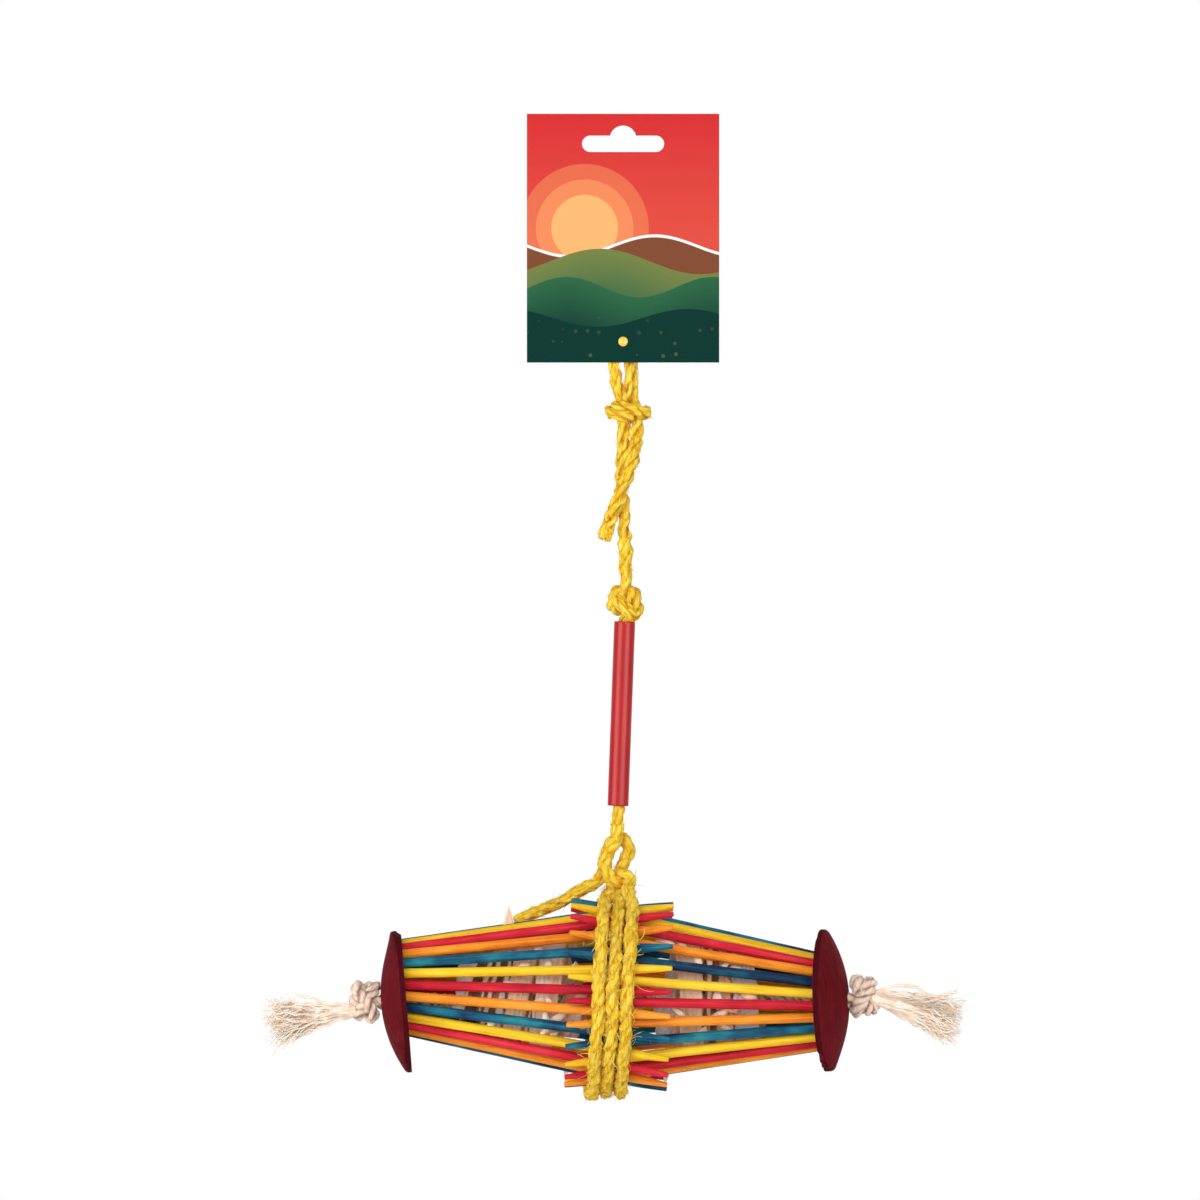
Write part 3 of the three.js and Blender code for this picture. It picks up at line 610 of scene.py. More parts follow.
def disc_finish(dark, middle, light, rim, worn):
    """Stained wood with upright grain, painted shade on the rim wall and in the sockets, and stain that wore
    off the edges.
    """
    material, w, shader = new_material("stained_disc")
    place = w.node("TexCoord").outputs["Object"]
    grain, patch = w.streaks(place, 900.0, 0.06, 70.0)
    value = w.math("MULTIPLY_ADD", patch, 0.35, w.math("MULTIPLY", grain, 0.6))
    colour = w.ramp(value, [(0.0, dark), (0.5, middle), (1.0, light)])
    edge = w.node("NewGeometry").outputs["Pointiness"]
    facing = w.node("SeparateXYZ", {0: w.node("TexCoord").outputs["Normal"]}).outputs["X"]
    # Painted shade: faces that turn away from the axis, on the rim wall and in the sockets, take the dark rim
    # colour.
    wall = w.span(w.math("ABSOLUTE", facing), 0.62, 0.4)
    colour = w.mix(wall, colour, w.ramp(grain, [(0.0, rim), (1.0, dark)]))
    rubbed = w.math("MULTIPLY", w.span(edge, 0.53, 0.6), w.span(w.noise(place, 300.0), 0.45, 0.6))
    w.feed(shader.inputs["Base Color"], w.mix(w.math("MULTIPLY", rubbed, 0.5), colour, worn))
    w.feed(shader.inputs["Roughness"], w.span(grain, 0, 1, 0.75, 0.6))
    shader.inputs["Specular IOR Level"].default_value = 0.015
    bump(w, shader, grain, 0.18 * MM, 0.6)
    return material


def leaf_finish(name, dark, brown, beige, pale, lilac):
    """Dried leaf: veins along the strip, a weave of fine dots, and a tone that is set for each stretch, whose
    darkest stretches paint shade between the windings.
    """
    material, w, shader = new_material(name)
    straight = w.attribute("straight").outputs["Vector"]
    veins, patch = w.streaks(straight, 1000.0, 0.02, 160.0)
    stretch = w.math("SUBTRACT", w.attribute("tone").outputs["Fac"], 0.08)
    tone = w.math("MULTIPLY_ADD", patch, 0.16, stretch, clamp=True)
    # The darkest tone takes the vein colour, which there stands for painted shade between the windings.
    colour = w.ramp(tone, [(0.0, dark), (0.22, brown), (0.45, beige), (0.7, pale), (1.0, lilac)])
    place = w.node("VectorMath", {0: straight, 1: (5200.0,) * 3}, operation="MULTIPLY")
    wave = w.node("VectorMath", {0: place.outputs[0]}, operation="SINE")
    parts = w.node("SeparateXYZ", {0: wave.outputs[0]})
    dots = w.span(w.math("MULTIPLY", parts.outputs["X"], parts.outputs["Z"]), 0.2, 0.8)
    shade = w.math("MAXIMUM", w.span(veins, 0.4, 0.05, 0.0, 0.55), w.math("MULTIPLY", dots, 0.2))
    w.feed(shader.inputs["Base Color"], w.mix(shade, colour, dark))
    shader.inputs["Roughness"].default_value = 0.75
    shader.inputs["Specular IOR Level"].default_value = 0.1
    bump(w, shader, veins, 0.25 * MM, 0.8)
    return material


def tube_finish(dark, middle, light):
    """Satin plastic with faint drawing lines along it."""
    material, w, shader = new_material("satin_tube")
    straight = w.attribute("straight").outputs["Vector"]
    drawn, patch = w.streaks(straight, 1400.0, 0.008, 45.0)
    value = w.math("MULTIPLY_ADD", patch, 0.4, w.math("MULTIPLY", drawn, 0.5))
    w.feed(shader.inputs["Base Color"], w.ramp(value, [(0.0, dark), (0.5, middle), (1.0, light)]))
    w.feed(shader.inputs["Roughness"], w.span(drawn, 0, 1, 0.36, 0.3))
    shader.inputs["Specular IOR Level"].default_value = 0.2
    return material


def rivet_finish(base, rubbed):
    """Moulded plastic, rubbed a little paler in places."""
    material, w, shader = new_material("moulded_rivet")
    place = w.node("TexCoord").outputs["Object"]
    w.feed(shader.inputs["Base Color"], w.mix(w.span(w.noise(place, 900.0), 0.4, 0.7), base, rubbed))
    w.feed(shader.inputs["Roughness"], w.span(w.noise(place, 2500.0), 0.3, 0.7, 0.32, 0.5))
    return material


def card_finish(red, coral, sun, brown, olive, green, deep, paper, board):
    """Printed card: a low sun over rolling hills in front, plain board behind, and white cut edges.

    Each hill lies below a height that is a sine of the place across the card."""
    material, w, shader = new_material("printed_card")
    coord = w.node("TexCoord")
    place = coord.outputs["Object"]
    parts = w.node("SeparateXYZ", {0: place})
    x, z = parts.outputs["X"], parts.outputs["Z"]
    colour = w.mix(w.span(z, -60 * MM, 5 * MM), coral, red)
    beside = w.math("SUBTRACT", x, -15 * MM)
    above = w.math("SUBTRACT", z, -40 * MM)
    away = w.math("SQRT", w.math("MULTIPLY_ADD", beside, beside, w.math("MULTIPLY", above, above)))
    for radius, share in ((25 * MM, 0.22), (19 * MM, 0.3), (13 * MM, 0.9)):
        disc = w.span(away, radius - 0.1 * MM, radius + 0.1 * MM, share, 0.0)
        colour = w.mix(disc, colour, sun)
    # Height, swell, bend and phase of each hill, its colours at the top and the foot, and if a line edges it
    hills = (
        (-47 * MM, 4 * MM, 95.0, 0.4, brown, brown, True),
        (-53 * MM, 5 * MM, 80.0, 2.3, olive, green, False),
        (-63 * MM, 4 * MM, 110.0, 4.0, green, deep, False),
        (-75 * MM, 3.5 * MM, 90.0, 5.6, deep, deep, False),
    )
    for base, height, bend, phase, top, foot, edged in hills:
        angle = w.math("MULTIPLY_ADD", x, bend, phase)
        below = w.math("SUBTRACT", w.math("MULTIPLY_ADD", w.math("SINE", angle), height, base), z)
        shade = w.mix(w.span(below, 0.0, 22 * MM), top, foot)
        colour = w.mix(w.span(below, -0.06 * MM, 0.06 * MM), colour, shade)
        if edged:
            line = w.span(w.math("ABSOLUTE", below), 0.45 * MM, 0.65 * MM, 1.0, 0.0)
            colour = w.mix(line, colour, paper)
    spots = w.node("TexVoronoi", {"Vector": place, "Scale": 210.0, "Randomness": 0.35}).outputs["Distance"]
    low = w.span(z, -70 * MM, -90 * MM)
    colour = w.mix(w.math("MULTIPLY", w.span(spots, 0.16, 0.2, 0.35, 0.0), low), colour, olive)
    facing = w.node("SeparateXYZ", {0: coord.outputs["Normal"]}).outputs["Y"]
    fibres = w.noise(place, 900.0, 5.0)
    plain = w.mix(w.span(fibres, 0.2, 0.8), board, paper)
    colour = w.mix(w.span(facing, -0.6, -0.4), colour, plain)
    w.feed(shader.inputs["Base Color"], colour)
    w.feed(shader.inputs["Roughness"], w.span(facing, -0.6, -0.4, 0.38, 0.8))
    shader.inputs["Specular IOR Level"].default_value = 0.02
    bump(w, shader, fibres, 0.03 * MM, 0.4)
    return material


def floor_finish(pale):
    """Pale floor that keeps the object's shadow near it and fades to white further out."""
    material, w = empty_material("pale_floor")
    place = w.node("TexCoord").outputs["Object"]
    away = w.node("VectorMath", {0: place}, operation="LENGTH").outputs["Value"]
    lit = w.node("BsdfDiffuse", {"Color": pale})
    white = w.node("Emission", {"Color": (1.0, 1.0, 1.0), "Strength": 1.0})
    share = w.math("MULTIPLY", w.span(away, 0.3, 1.1, 0.5, 1.0, smooth=True), seen_rays(w))
    mixed = w.node("MixShader", {0: share, 1: lit.outputs[0], 2: white.outputs[0]})
    w.node("OutputMaterial", {"Surface": mixed.outputs[0]})
    return material


def seen_rays(w):
    """1 for rays from the camera, and for reflected and refracted ones."""
    rays = w.node("LightPath")
    shown = w.math("MAXIMUM", rays.outputs["Is Camera Ray"], rays.outputs["Is Glossy Ray"])
    return w.math("MAXIMUM", shown, rays.outputs["Is Transmission Ray"])


# Settings


def colour_setting(name, description, values):
    return bpy.props.FloatVectorProperty(
        name=name, description=description, subtype="COLOR", size=3, min=0, max=1, default=screen(*values))


def length_setting(name, description, value):
    return bpy.props.FloatProperty(
        name=name, description=description, default=value, min=0, subtype="DISTANCE", unit="LENGTH")


def place_setting(name, description, value):
    return bpy.props.FloatProperty(name=name, description=description, default=value, unit="LENGTH")


def power_setting(name, description, value):
    return bpy.props.FloatProperty(name=name, description=description, default=value, min=0, unit="POWER")


class RopeSettings(bpy.types.PropertyGroup):
    """Laid ropes, their loose fibres and their colours"""

    lay: length_setting("Lay", "Length in which a strand goes round the yellow rope", 21 * MM)
    core_lay: length_setting("Natural lay", "Length in which a strand goes round the natural rope", 10 * MM)
    step: length_setting("Step", "Distance between the rings of a rope", 0.55 * MM)
    yellow_dark: colour_setting("Yellow, dark", "Dark fibres of the yellow rope", (216, 154, 18))
    yellow: colour_setting("Yellow", "Main tone of the yellow rope", (250, 204, 46))
    yellow_light: colour_setting("Yellow, light", "Light fibres of the yellow rope", (255, 236, 112))
    # Colour of the painted shade in the grooves, and of the dark flecks
    yellow_shade_and_fleck: colour_setting("Yellow, crevice", "Grooves of the yellow rope", (200, 126, 4))
    natural_dark: colour_setting("Natural, dark", "Dark fibres of the natural rope", (236, 192, 166))
    natural: colour_setting("Natural", "Main tone of the natural rope", (255, 227, 204))
    natural_light: colour_setting("Natural, light", "Light fibres of the natural rope", (255, 244, 230))
    # Colour of the painted shade in the grooves, and of the dark flecks
    natural_shade_and_fleck: colour_setting("Natural, crevice", "Grooves of the natural rope", (150, 98, 74))
    frayed_dark: colour_setting("Frayed, dark", "Dark fibres of the frayed ends", (255, 228, 204))
    frayed_light: colour_setting("Frayed, light", "Light fibres of the frayed ends", (255, 246, 232))


class StickSettings(bpy.types.PropertyGroup):
    """Dyes of the sticks: dark, main and light tone of each"""

    red: colour_setting("Red", "Red dye", (211, 33, 52))
    red_dark: colour_setting("Red, dark", "Red dye where it soaked in", (150, 16, 34))
    red_light: colour_setting("Red, light", "Red dye where it is thin", (230, 70, 82))
    yellow: colour_setting("Yellow", "Yellow dye", (248, 204, 40))
    yellow_dark: colour_setting("Yellow, dark", "Yellow dye where it soaked in", (214, 152, 16))
    yellow_light: colour_setting("Yellow, light", "Yellow dye where it is thin", (255, 226, 92))
    orange: colour_setting("Orange", "Orange dye", (251, 153, 42))
    orange_dark: colour_setting("Orange, dark", "Orange dye where it soaked in", (206, 92, 14))
    orange_light: colour_setting("Orange, light", "Orange dye where it is thin", (255, 182, 86))
    blue: colour_setting("Blue", "Blue dye", (22, 94, 124))
    blue_dark: colour_setting("Blue, dark", "Blue dye where it soaked in", (13, 44, 74))
    blue_light: colour_setting("Blue, light", "Blue dye where it is thin", (40, 134, 146))


class BodySettings(bpy.types.PropertyGroup):
    """Discs, tube, rivet, leaf and card"""

    disc: colour_setting("Disc", "Stain of the discs", (105, 21, 30))
    disc_dark: colour_setting("Disc, dark", "Stain in the grain", (80, 15, 22))
    disc_light: colour_setting("Disc, light", "Stain on the ridges", (128, 29, 40))
    # Painted shade on the rim wall and in the sockets
    disc_rim_shade: colour_setting("Disc, rim", "Stain on the rim", (58, 12, 22))
    disc_worn: colour_setting("Disc, worn", "Wood on the rubbed rim", (140, 66, 66))
    tube: colour_setting("Tube", "Tube", (178, 17, 20))
    tube_dark: colour_setting("Tube, dark", "Darker lines of the tube", (158, 12, 16))
    tube_light: colour_setting("Tube, light", "Paler lines of the tube", (188, 27, 27))
    rivet: colour_setting("Rivet", "Rivet", (233, 187, 50))
    rivet_rubbed: colour_setting("Rivet, rubbed", "Rubbed places of the rivet", (244, 208, 96))
    # Colour of the veins, and of the painted shade between the windings
    leaf_veins_and_shade: colour_setting("Leaf, veins", "Veins of the leaf", (112, 78, 62))
    leaf_brown: colour_setting("Leaf, brown", "Brown stretches of the leaf", (236, 183, 151))
    leaf_beige: colour_setting("Leaf, beige", "Beige stretches of the leaf", (255, 217, 186))
    leaf_pale: colour_setting("Leaf, pale", "Pale stretches of the leaf", (255, 237, 218))
    leaf_lilac: colour_setting("Leaf, lilac", "Lilac grey stretches of the leaf", (236, 228, 232))
    card_red: colour_setting("Card, red", "Top of the card", (202, 45, 48))
    card_coral: colour_setting("Card, coral", "Middle of the card", (214, 82, 68))
    card_sun: colour_setting("Card, sun", "Sun on the card", (250, 176, 110))
    card_brown: colour_setting("Card, brown", "Farthest hill", (122, 72, 48))
    card_olive: colour_setting("Card, olive", "Second hill", (112, 124, 66))
    card_green: colour_setting("Card, green", "Third hill", (44, 98, 66))
    card_deep: colour_setting("Card, deep", "Nearest hill", (10, 52, 46))
    card_paper: colour_setting("Card, paper", "Cut edges and white line", (244, 242, 238))
    card_board: colour_setting("Card, board", "Back of the card", (222, 214, 202))


class StageSettings(bpy.types.PropertyGroup):
    """Camera, lamps and floor"""

    distance: length_setting("Camera distance", "How far in front of the card the camera stands", 3.0)
    view: length_setting("View", "Width of the picture at the card", 0.468)
    beside: place_setting("Beside", "Picture's middle beside the card's", -9 * MM)
    height: place_setting("Height", "Picture's middle above the hang slot", -0.185)
    floor: place_setting("Floor", "Height of the floor", -0.6)
    left: power_setting("Left lamp", "Power of the tall lamp at the left", 10.5)
    right: power_setting("Right lamp", "Power of the tall lamp at the right", 8.0)
    top: power_setting("Top lamp", "Power of the broad lamp above the camera", 20.0)
    back: power_setting("Back lamp", "Power of the broad lamp behind the toy", 16.0)
    glint: power_setting("Glint", "Power of the lamps that only gloss shows", 32.0)
    ambient: bpy.props.FloatProperty(
        name="Ambient", description="Strength of the light from all round", default=0.36, min=0, max=1)
    pale: colour_setting("Floor colour", "Colour of the floor", (238, 236, 232))


SETTINGS = {
    "toy_rope": RopeSettings,
    "toy_stick": StickSettings,
    "toy_body": BodySettings,
    "toy_stage": StageSettings,
}


def finish_of(kind):
    """A shared finish, made on its first use from the scene's settings."""
    scene = bpy.context.scene
    rope, body = scene.toy_rope, scene.toy_body
    makers = {
        "laid_yellow_rope": lambda name: rope_finish(
            name, rope.yellow_dark, rope.yellow, rope.yellow_light, rope.yellow_shade_and_fleck, 0.55, 0.03),
        "laid_natural_rope": lambda name: rope_finish(
            name, rope.natural_dark, rope.natural, rope.natural_light, rope.natural_shade_and_fleck, 0.15, 0.1),
        "yellow_fibre": lambda name: fibre_finish(name, rope.yellow_dark, rope.yellow_light, 0.1),
        "natural_fibre": lambda name: fibre_finish(name, rope.frayed_dark, rope.frayed_light, 0.5),
        "dried_leaf": lambda name: leaf_finish(
            name, body.leaf_veins_and_shade, body.leaf_brown, body.leaf_beige, body.leaf_pale, body.leaf_lilac),
    }
    return bpy.data.materials.get(kind) or makers[kind](kind)


# Ropes


def upper_path(step):
    """Centre line of the upper rope: out of the middle knot, up, round the rivet and to its loose end."""
    angle = np.linspace(math.pi, 0, 7)[:, None]
    arc = RIVET + EYE_RADIUS * (np.cos(angle) * ACROSS + np.sin(angle) * UP)
    rising = [[0.4, 0, 0.905], [0.12, 0, 0.746], [-0.12, 0, 0.576], [0.04, 0, 0.428], [0.12, 0, 0.35],
              [-0.24, 0, 0.286], [-1, 0, 0.2], [-1.56, 0, 0.085]]
    falling = [[1.44, 0, 0.085], [1.48, 0, 0.2], [2, 0, 0.286], [2.2, -0.12, 0.35], [2, -0.8, 0.424],
               [1.28, -1.84, 0.508], [0.16, -2.2, 0.593], [-1.28, -2, 0.689], [-2.96, -1.44, 0.805]]
    points = np.vstack([SWING + 3 * MM * ROPE_DOWN, SWING, route(RIVET, UPPER_ROPE_LENGTH, rising), arc,
                        route(RIVET, UPPER_ROPE_LENGTH, falling)])
    path = drawn_tight(smooth_path(points, step), TOP_KNOT + [0, 0, 5 * MM], 9 * MM, 0.42)
    return even_steps(path, step)


def binding_point(angle, beside, lift):
    """Point on the cage's cone at an angle from the top towards the front, lifted off its seat."""
    slope = (WAIST_RADIUS - RING_RADIUS) / HALVES["right"][1]
    radius = WAIST_SEAT + slope * np.abs(beside) / math.cos(STICK_HALF_ANGLE) + lift
    return from_cage(np.stack([beside, -radius * np.sin(angle), radius * np.cos(angle)], axis=1))


def binding_path(step):
    """Centre line of the binding: standing part, over the top, three turns of the waist, hitch, rear tail."""
    standing = [[-0.04, 0, KNOT_TOP / HITCH_HEIGHT], [-0.72, -0.2, 0.228], [-1.6, -0.4, 0.36],
                [-2, -0.6, 0.48], [-2.02, -0.72, 0.58], [-1.72, -0.7, 0.67], [-1.15, -0.4, 0.735]]
    behind, up, pitches = np.array([[3, 1.95, 1.46], [13, 2, 1.5], [25, 2.1, 1.72], [38, 2.1, 2.1],
                                    [52, 1.5, 2.5], [68, 0.4, 2.78]]).T
    returning = [[2.24, -3.56, 0.92], [2.56, -2.28, 0.829], [2.72, -1.4, 0.745], [2.56, -0.88, 0.669],
                 [2.04, -0.64, 0.62], [1.36, -0.6, 0.605], [0.68, -0.48, 0.601], [0.12, 0.04, 0.589],
                 [-0.06, 0.84, 0.567], [0.24, 1.6, 0.525], [0.84, 1.96, 0.46], [1.36, 2, 0.384],
                 [1.76, 1.92, 0.304], [1.84, 1.88, 0.224], [1.44, 2, 0.152], [0.64, 2.24, 0.122],
                 [-0.32, 2.44, 0.141], [-1.12, 2.6, 0.213], [-1.64, 2.76, 0.335], [-2, 2.92, 0.475],
                 [-2.32, 3.16, 0.616], [-3, 3.5, 0.735], [-4.15, 3.8, 0.81], [-5.6, 4.15, 0.885],
                 [-7.4, 4.6, 0.985], [-9.2, 5.05, 1.075], [-11.3, 5.5, 1.165], [-13.6, 5.95, 1.26],
                 [-15.5, 6.2, 1.345]]
    crossing = binding_point(-np.radians(behind), BINDING_START - BINDING_PITCH * pitches, ROPE_RADIUS * up)
    first, last = math.radians(24), 3 * TAU - math.radians(85)
    angle = np.linspace(last, first, round((last - first) / TAU * 12) + 1)
    turns = binding_point(angle, BINDING_START - BINDING_PITCH * angle / TAU, 0)
    points = np.vstack([TILT - 3 * MM * ROPE_DOWN, TILT, route(TILT, HITCH_HEIGHT, standing), crossing,
                        turns, route(TILT, HITCH_HEIGHT, returning)])
    path = drawn_tight(smooth_path(points, step), HITCH, 7 * MM, 0.6)
    path = drawn_tight(path, HITCH_NECK, np.array([9, 9, 2.8]) * MM, np.array([0.5, 0, 0]))
    return even_steps(drawn_tight(path, HITCH_EYE, 4.5 * MM, -0.3), step)


def fuzz_paths(path, places, count, longest, lift, curl, rng):
    """Paths of loose fibres that leave the yellow rope along it and curl round as arcs of a circle.

    They start at some of the places, which number the path's points."""
    tangent, normal, binormal = carried_frame(path)
    at = rng.choice(places, count)
    angle = rng.uniform(0, TAU, (count, 1))
    out = np.cos(angle) * normal[at] + np.sin(angle) * binormal[at]
    along = tangent[at] * rng.choice([-1, 1], (count, 1))
    side = np.cross(out, along)
    lifted = along + lift * rng.uniform(0.2, 1.2, (count, 1)) * out
    way = unit(lifted + rng.normal(0, 0.35, (count, 1)) * side)
    bent = unit(rng.normal(0, 1, (count, 1)) * side + rng.normal(0, 0.6, (count, 1)) * out)
    length = longest * (0.3 + 0.7 * rng.random((count, 1, 1)) ** 2)
    sweep = curl * rng.uniform(0.2, 1, (count, 1, 1))
    angle = sweep * np.linspace(0, 1, 9)[:, None]
    root = path[at] + 0.85 * ROPE_RADIUS * out
    arc = np.sin(angle) * way[:, None] + (1 - np.cos(angle)) * bent[:, None]
    return root[:, None] + length / sweep * arc


def rope_piece(name, path, radius, lay, seed, slot, reference, brushed=0.0):
    """One stretch of laid rope as a piece that still has to be given its body."""
    rings, attributes = laid_rings(path, radius, lay, seed, reference, brushed)
    return add_piece(name, tube_mesh(name, rings[None], attributes), finish_of("laid_" + slot))


def yellow_piece(name, path, seed, radius=ROPE_RADIUS, reference=ACROSS, brushed=0.0):
    """One stretch of the yellow rope."""
    lay = bpy.context.scene.toy_rope.lay
    return rope_piece(name, path, radius, lay, seed, "yellow_rope", reference, brushed)


def natural_piece(name, path, seed, reference):
    """One stretch of the natural rope."""
    lay = bpy.context.scene.toy_rope.core_lay
    return rope_piece(name, path, CORE_RADIUS, lay, seed, "natural_rope", reference)


def loose_fibres(name, path, per_length, strays, seed, stray_places=None, longest=6 * MM):
    """Loose fibres of the yellow rope: many short ones close to it, and a few long and curly strays."""
    rng = np.random.default_rng(seed)
    count = round(per_length * run_of(path)[-1])
    places = np.arange(1, len(path) - 1)
    close = fuzz_paths(path, places, count, 5 * MM, 0.3, 1.2, rng)
    stray_places = places if stray_places is None else stray_places
    stray = fuzz_paths(path, stray_places, strays, longest, 0.9, 5.0, rng)
    thick = np.concatenate([rng.uniform(0.08, 0.16, count), rng.uniform(0.14, 0.2, strays)]) * MM
    mesh = tube_mesh(name, hair_rings(np.concatenate([close, stray]), thick, 3, rng), folded=False)
    return add_piece(name, mesh, finish_of("yellow_fibre"))


def open_end(name, path, seed):
    """Bare end of the yellow rope: its three strands part from the last stretch and bend outwards."""
    rng = np.random.default_rng(seed)
    tangent, normal, binormal = carried_frame(path[-12:])
    angle = (np.arange(3) * TAU / 3 + rng.uniform(0, TAU))[:, None, None]
    out = np.cos(angle) * normal[-1] + np.sin(angle) * binormal[-1]
    t = np.linspace(0, 1, 14)[None, :, None]
    length = ROPE_RADIUS * rng.uniform(1.5, 2.2, (3, 1, 1))
    paths = path[-1] + (t - 0.75) * length * tangent[-1] + ROPE_RADIUS * (0.4 + 0.4 * t**2) * out
    rings = hair_rings(paths, 0.75 * ROPE_RADIUS, 14, rng, 0.35)
    mesh = tube_mesh(name, rings, {"straight": rings, "groove_shade": np.zeros(rings.shape[:3])}, folded=False)
    return add_piece(name, mesh, finish_of("laid_yellow_rope"))


# Operators


class ToyOperator(bpy.types.Operator):
    """Base of the operators that dress the toy"""

    bl_options = {"REGISTER", "UNDO"}


def place_camera(scene, stage):
    camera = bpy.data.objects.new("camera", bpy.data.cameras.new("camera"))
    camera.data.lens = camera.data.sensor_width * stage.distance / stage.view
    camera.location = (stage.beside, -stage.distance, stage.height)
    camera.rotation_euler = (math.pi / 2, 0, 0)
    camera.data.clip_end = 20
    scene.collection.objects.link(camera)
    scene.camera = camera


def hang_lamps(scene, stage):
    """Lamps that face the middle of the toy. Gloss shows only the glints, which light nothing else."""
    middle = np.array([stage.beside, 0, stage.height - 0.08])
    lamps = {
        "left_lamp": ((-1.4, -1.05, -0.05), (1.0, 1.2), stage.left),
        "right_lamp": ((1.4, -1.05, -0.05), (1.0, 1.2), stage.right),
        "top_lamp": ((-0.35, -1.85, 0.6), (1.2, 1.0), stage.top),
        "back_lamp": ((0.35, 1.9, 0.5), (1.2, 1.0), stage.back),
        "left_glint": ((-1.1, -1.02, -0.05), (1.1, 1.2), stage.glint),
        "right_glint": ((0.92, -1.18, -0.05), (1.1, 1.2), stage.glint),
    }
    for name, (offset, size, power) in lamps.items():
        lamp = bpy.data.lights.new(name, "AREA")
        lamp.shape = "RECTANGLE"
        lamp.size, lamp.size_y = size
        lamp.energy = power
        obj = bpy.data.objects.new(name, lamp)
        away = unit(np.array(offset))
        side = unit(np.cross(UP, away))
        place = np.eye(4)
        place[:3, :3] = np.stack([side, np.cross(away, side), away], axis=1)
        place[:3, 3] = middle + offset
        obj.matrix_world = Matrix(place)
        obj.visible_camera = False
        obj.visible_glossy = "glint" in name
        obj.visible_diffuse = "glint" not in name
        scene.collection.objects.link(obj)


def light_surroundings(scene, stage):
    """White surroundings that give the toy only a share of their light."""
    world = bpy.data.worlds.new("studio")
    world.use_nodes = True
    world.node_tree.nodes.clear()
    w = Wiring(world.node_tree)
    strength = w.span(seen_rays(w), 0, 1, stage.ambient, 1.0)
    sky = w.node("Background", {"Color": (1.0, 1.0, 1.0), "Strength": strength})
    w.node("OutputWorld", {"Surface": sky.outputs[0]})
    scene.world = world


def lay_floor(scene, stage):
    """Round floor: a thin turned plate."""
    radius, thickness, middle = 1.6, 0.01, 0.001
    profile = [(middle, -thickness), (radius, -thickness), (radius, 0.0), (middle, 0.0)]
    rings, _ = turned_rings(profile, 96, np.zeros(3), UP)
    floor = bpy.data.objects.new("floor", tube_mesh("floor", rings[None], folded=False))
    floor.location = (0, 0, stage.floor)
    floor.data.materials.append(floor_finish(stage.pale))
    scene.collection.objects.link(floor)


class TOY_OT_stage(ToyOperator):
    """Set the camera in front of the toy, the lamps round it, the floor and the white surroundings"""

    bl_idname = "foraging_toy.stage"
    bl_label = "Stage"

    def execute(self, context):
        scene, stage = context.scene, context.scene.toy_stage
        scene.view_settings.view_transform = "Standard"
        place_camera(scene, stage)
        hang_lamps(scene, stage)
        light_surroundings(scene, stage)
        lay_floor(scene, stage)
        return {"FINISHED"}


def make_upper_rope(step):
    """The stretch from the rivet to the middle knot, with the top knot and the loose end."""
    path = upper_path(step)
    upper = yellow_piece("upper_rope", path, 3)
    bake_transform(upper)
    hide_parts("rope_loop")
    upper_fuzz = loose_fibres("upper_rope_fibres", path, 2000, 4, 31)
    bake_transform(upper_fuzz)
    wrap = knot_turns(
        TOP_KNOT, along=np.array([-0.12, 0, -1]), across=np.array([-1, 0, 0.12]), out=FRONT,
        half_width=EYE_RADIUS + 2.8 * MM, half_depth=KNOT_TIGHTNESS * 2 * ROPE_RADIUS, turns=1.4,
        rise=4 * MM, phase=-0.2 * math.pi)
    wrap = smooth_path(wrap, step)
    top_knot = yellow_piece("top_knot", wrap, 5, 1.05 * ROPE_RADIUS, UP)
    top_fuzz = loose_fibres("top_knot_fibres", wrap, 2500, 2, 33)
    end = open_end("upper_rope_end", path, 34)
    for piece in (top_knot, top_fuzz, end):
        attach(piece, "loop")


def make_tube_rope(step):
    """The middle knot and the stretch that hangs from it into the tube."""
    foot = SWING + (TUBE_END - ROPE_JOIN_IN_TUBE) * ROPE_DOWN
    path = even_steps(np.array([SWING + KNOT_TOP * ROPE_DOWN, foot]), step)
    drop = yellow_piece("tube_rope", path, 7)
    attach(drop, "drop")
    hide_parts("rope_drop")
    middle = SWING + (KNOT_TOP + KNOT_HEIGHT / 2 - 1.2 * MM) * ROPE_DOWN
    axes = np.stack([ACROSS, -ROPE_DOWN, FRONT])
    turns = smooth_path(middle + ROPE_RADIUS * np.array(MIDDLE_KNOT) @ axes, step)
    knot = yellow_piece("middle_knot", turns, 9, reference=UP)
    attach(knot, "drop")
    fuzz = loose_fibres("middle_knot_fibres", turns, 2000, 2, 35)
    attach(fuzz, "drop")


def make_lower_rope(step):
    """The short stretch out of the tube to the hitch, slim enough for the tube to slide over it."""
    start = SWING + (TUBE_END - ROPE_JOIN_IN_TUBE + CLEARANCE) * ROPE_DOWN
    path = even_steps(np.array([start, TILT + 2.2 * MM * ROPE_DOWN]), step)
    lower = yellow_piece("lower_rope", path, 11, 0.88 * ROPE_RADIUS, brushed=0.6)
    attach(lower, "swivel")
    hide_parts("rope_stub")
    fuzz = loose_fibres("lower_rope_fibres", path[-18:], 4000, 2, 37)
    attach(fuzz, "swivel")


class TOY_OT_ropes(ToyOperator):
    """Make the yellow rope: upper stretch, two knots, the stretch in the tube and the short one below it"""

    bl_idname = "foraging_toy.ropes"
    bl_label = "Hanging rope"

    def execute(self, context):
        step = context.scene.toy_rope.step
        make_upper_rope(step)
        make_tube_rope(step)
        make_lower_rope(step)
        return {"FINISHED"}


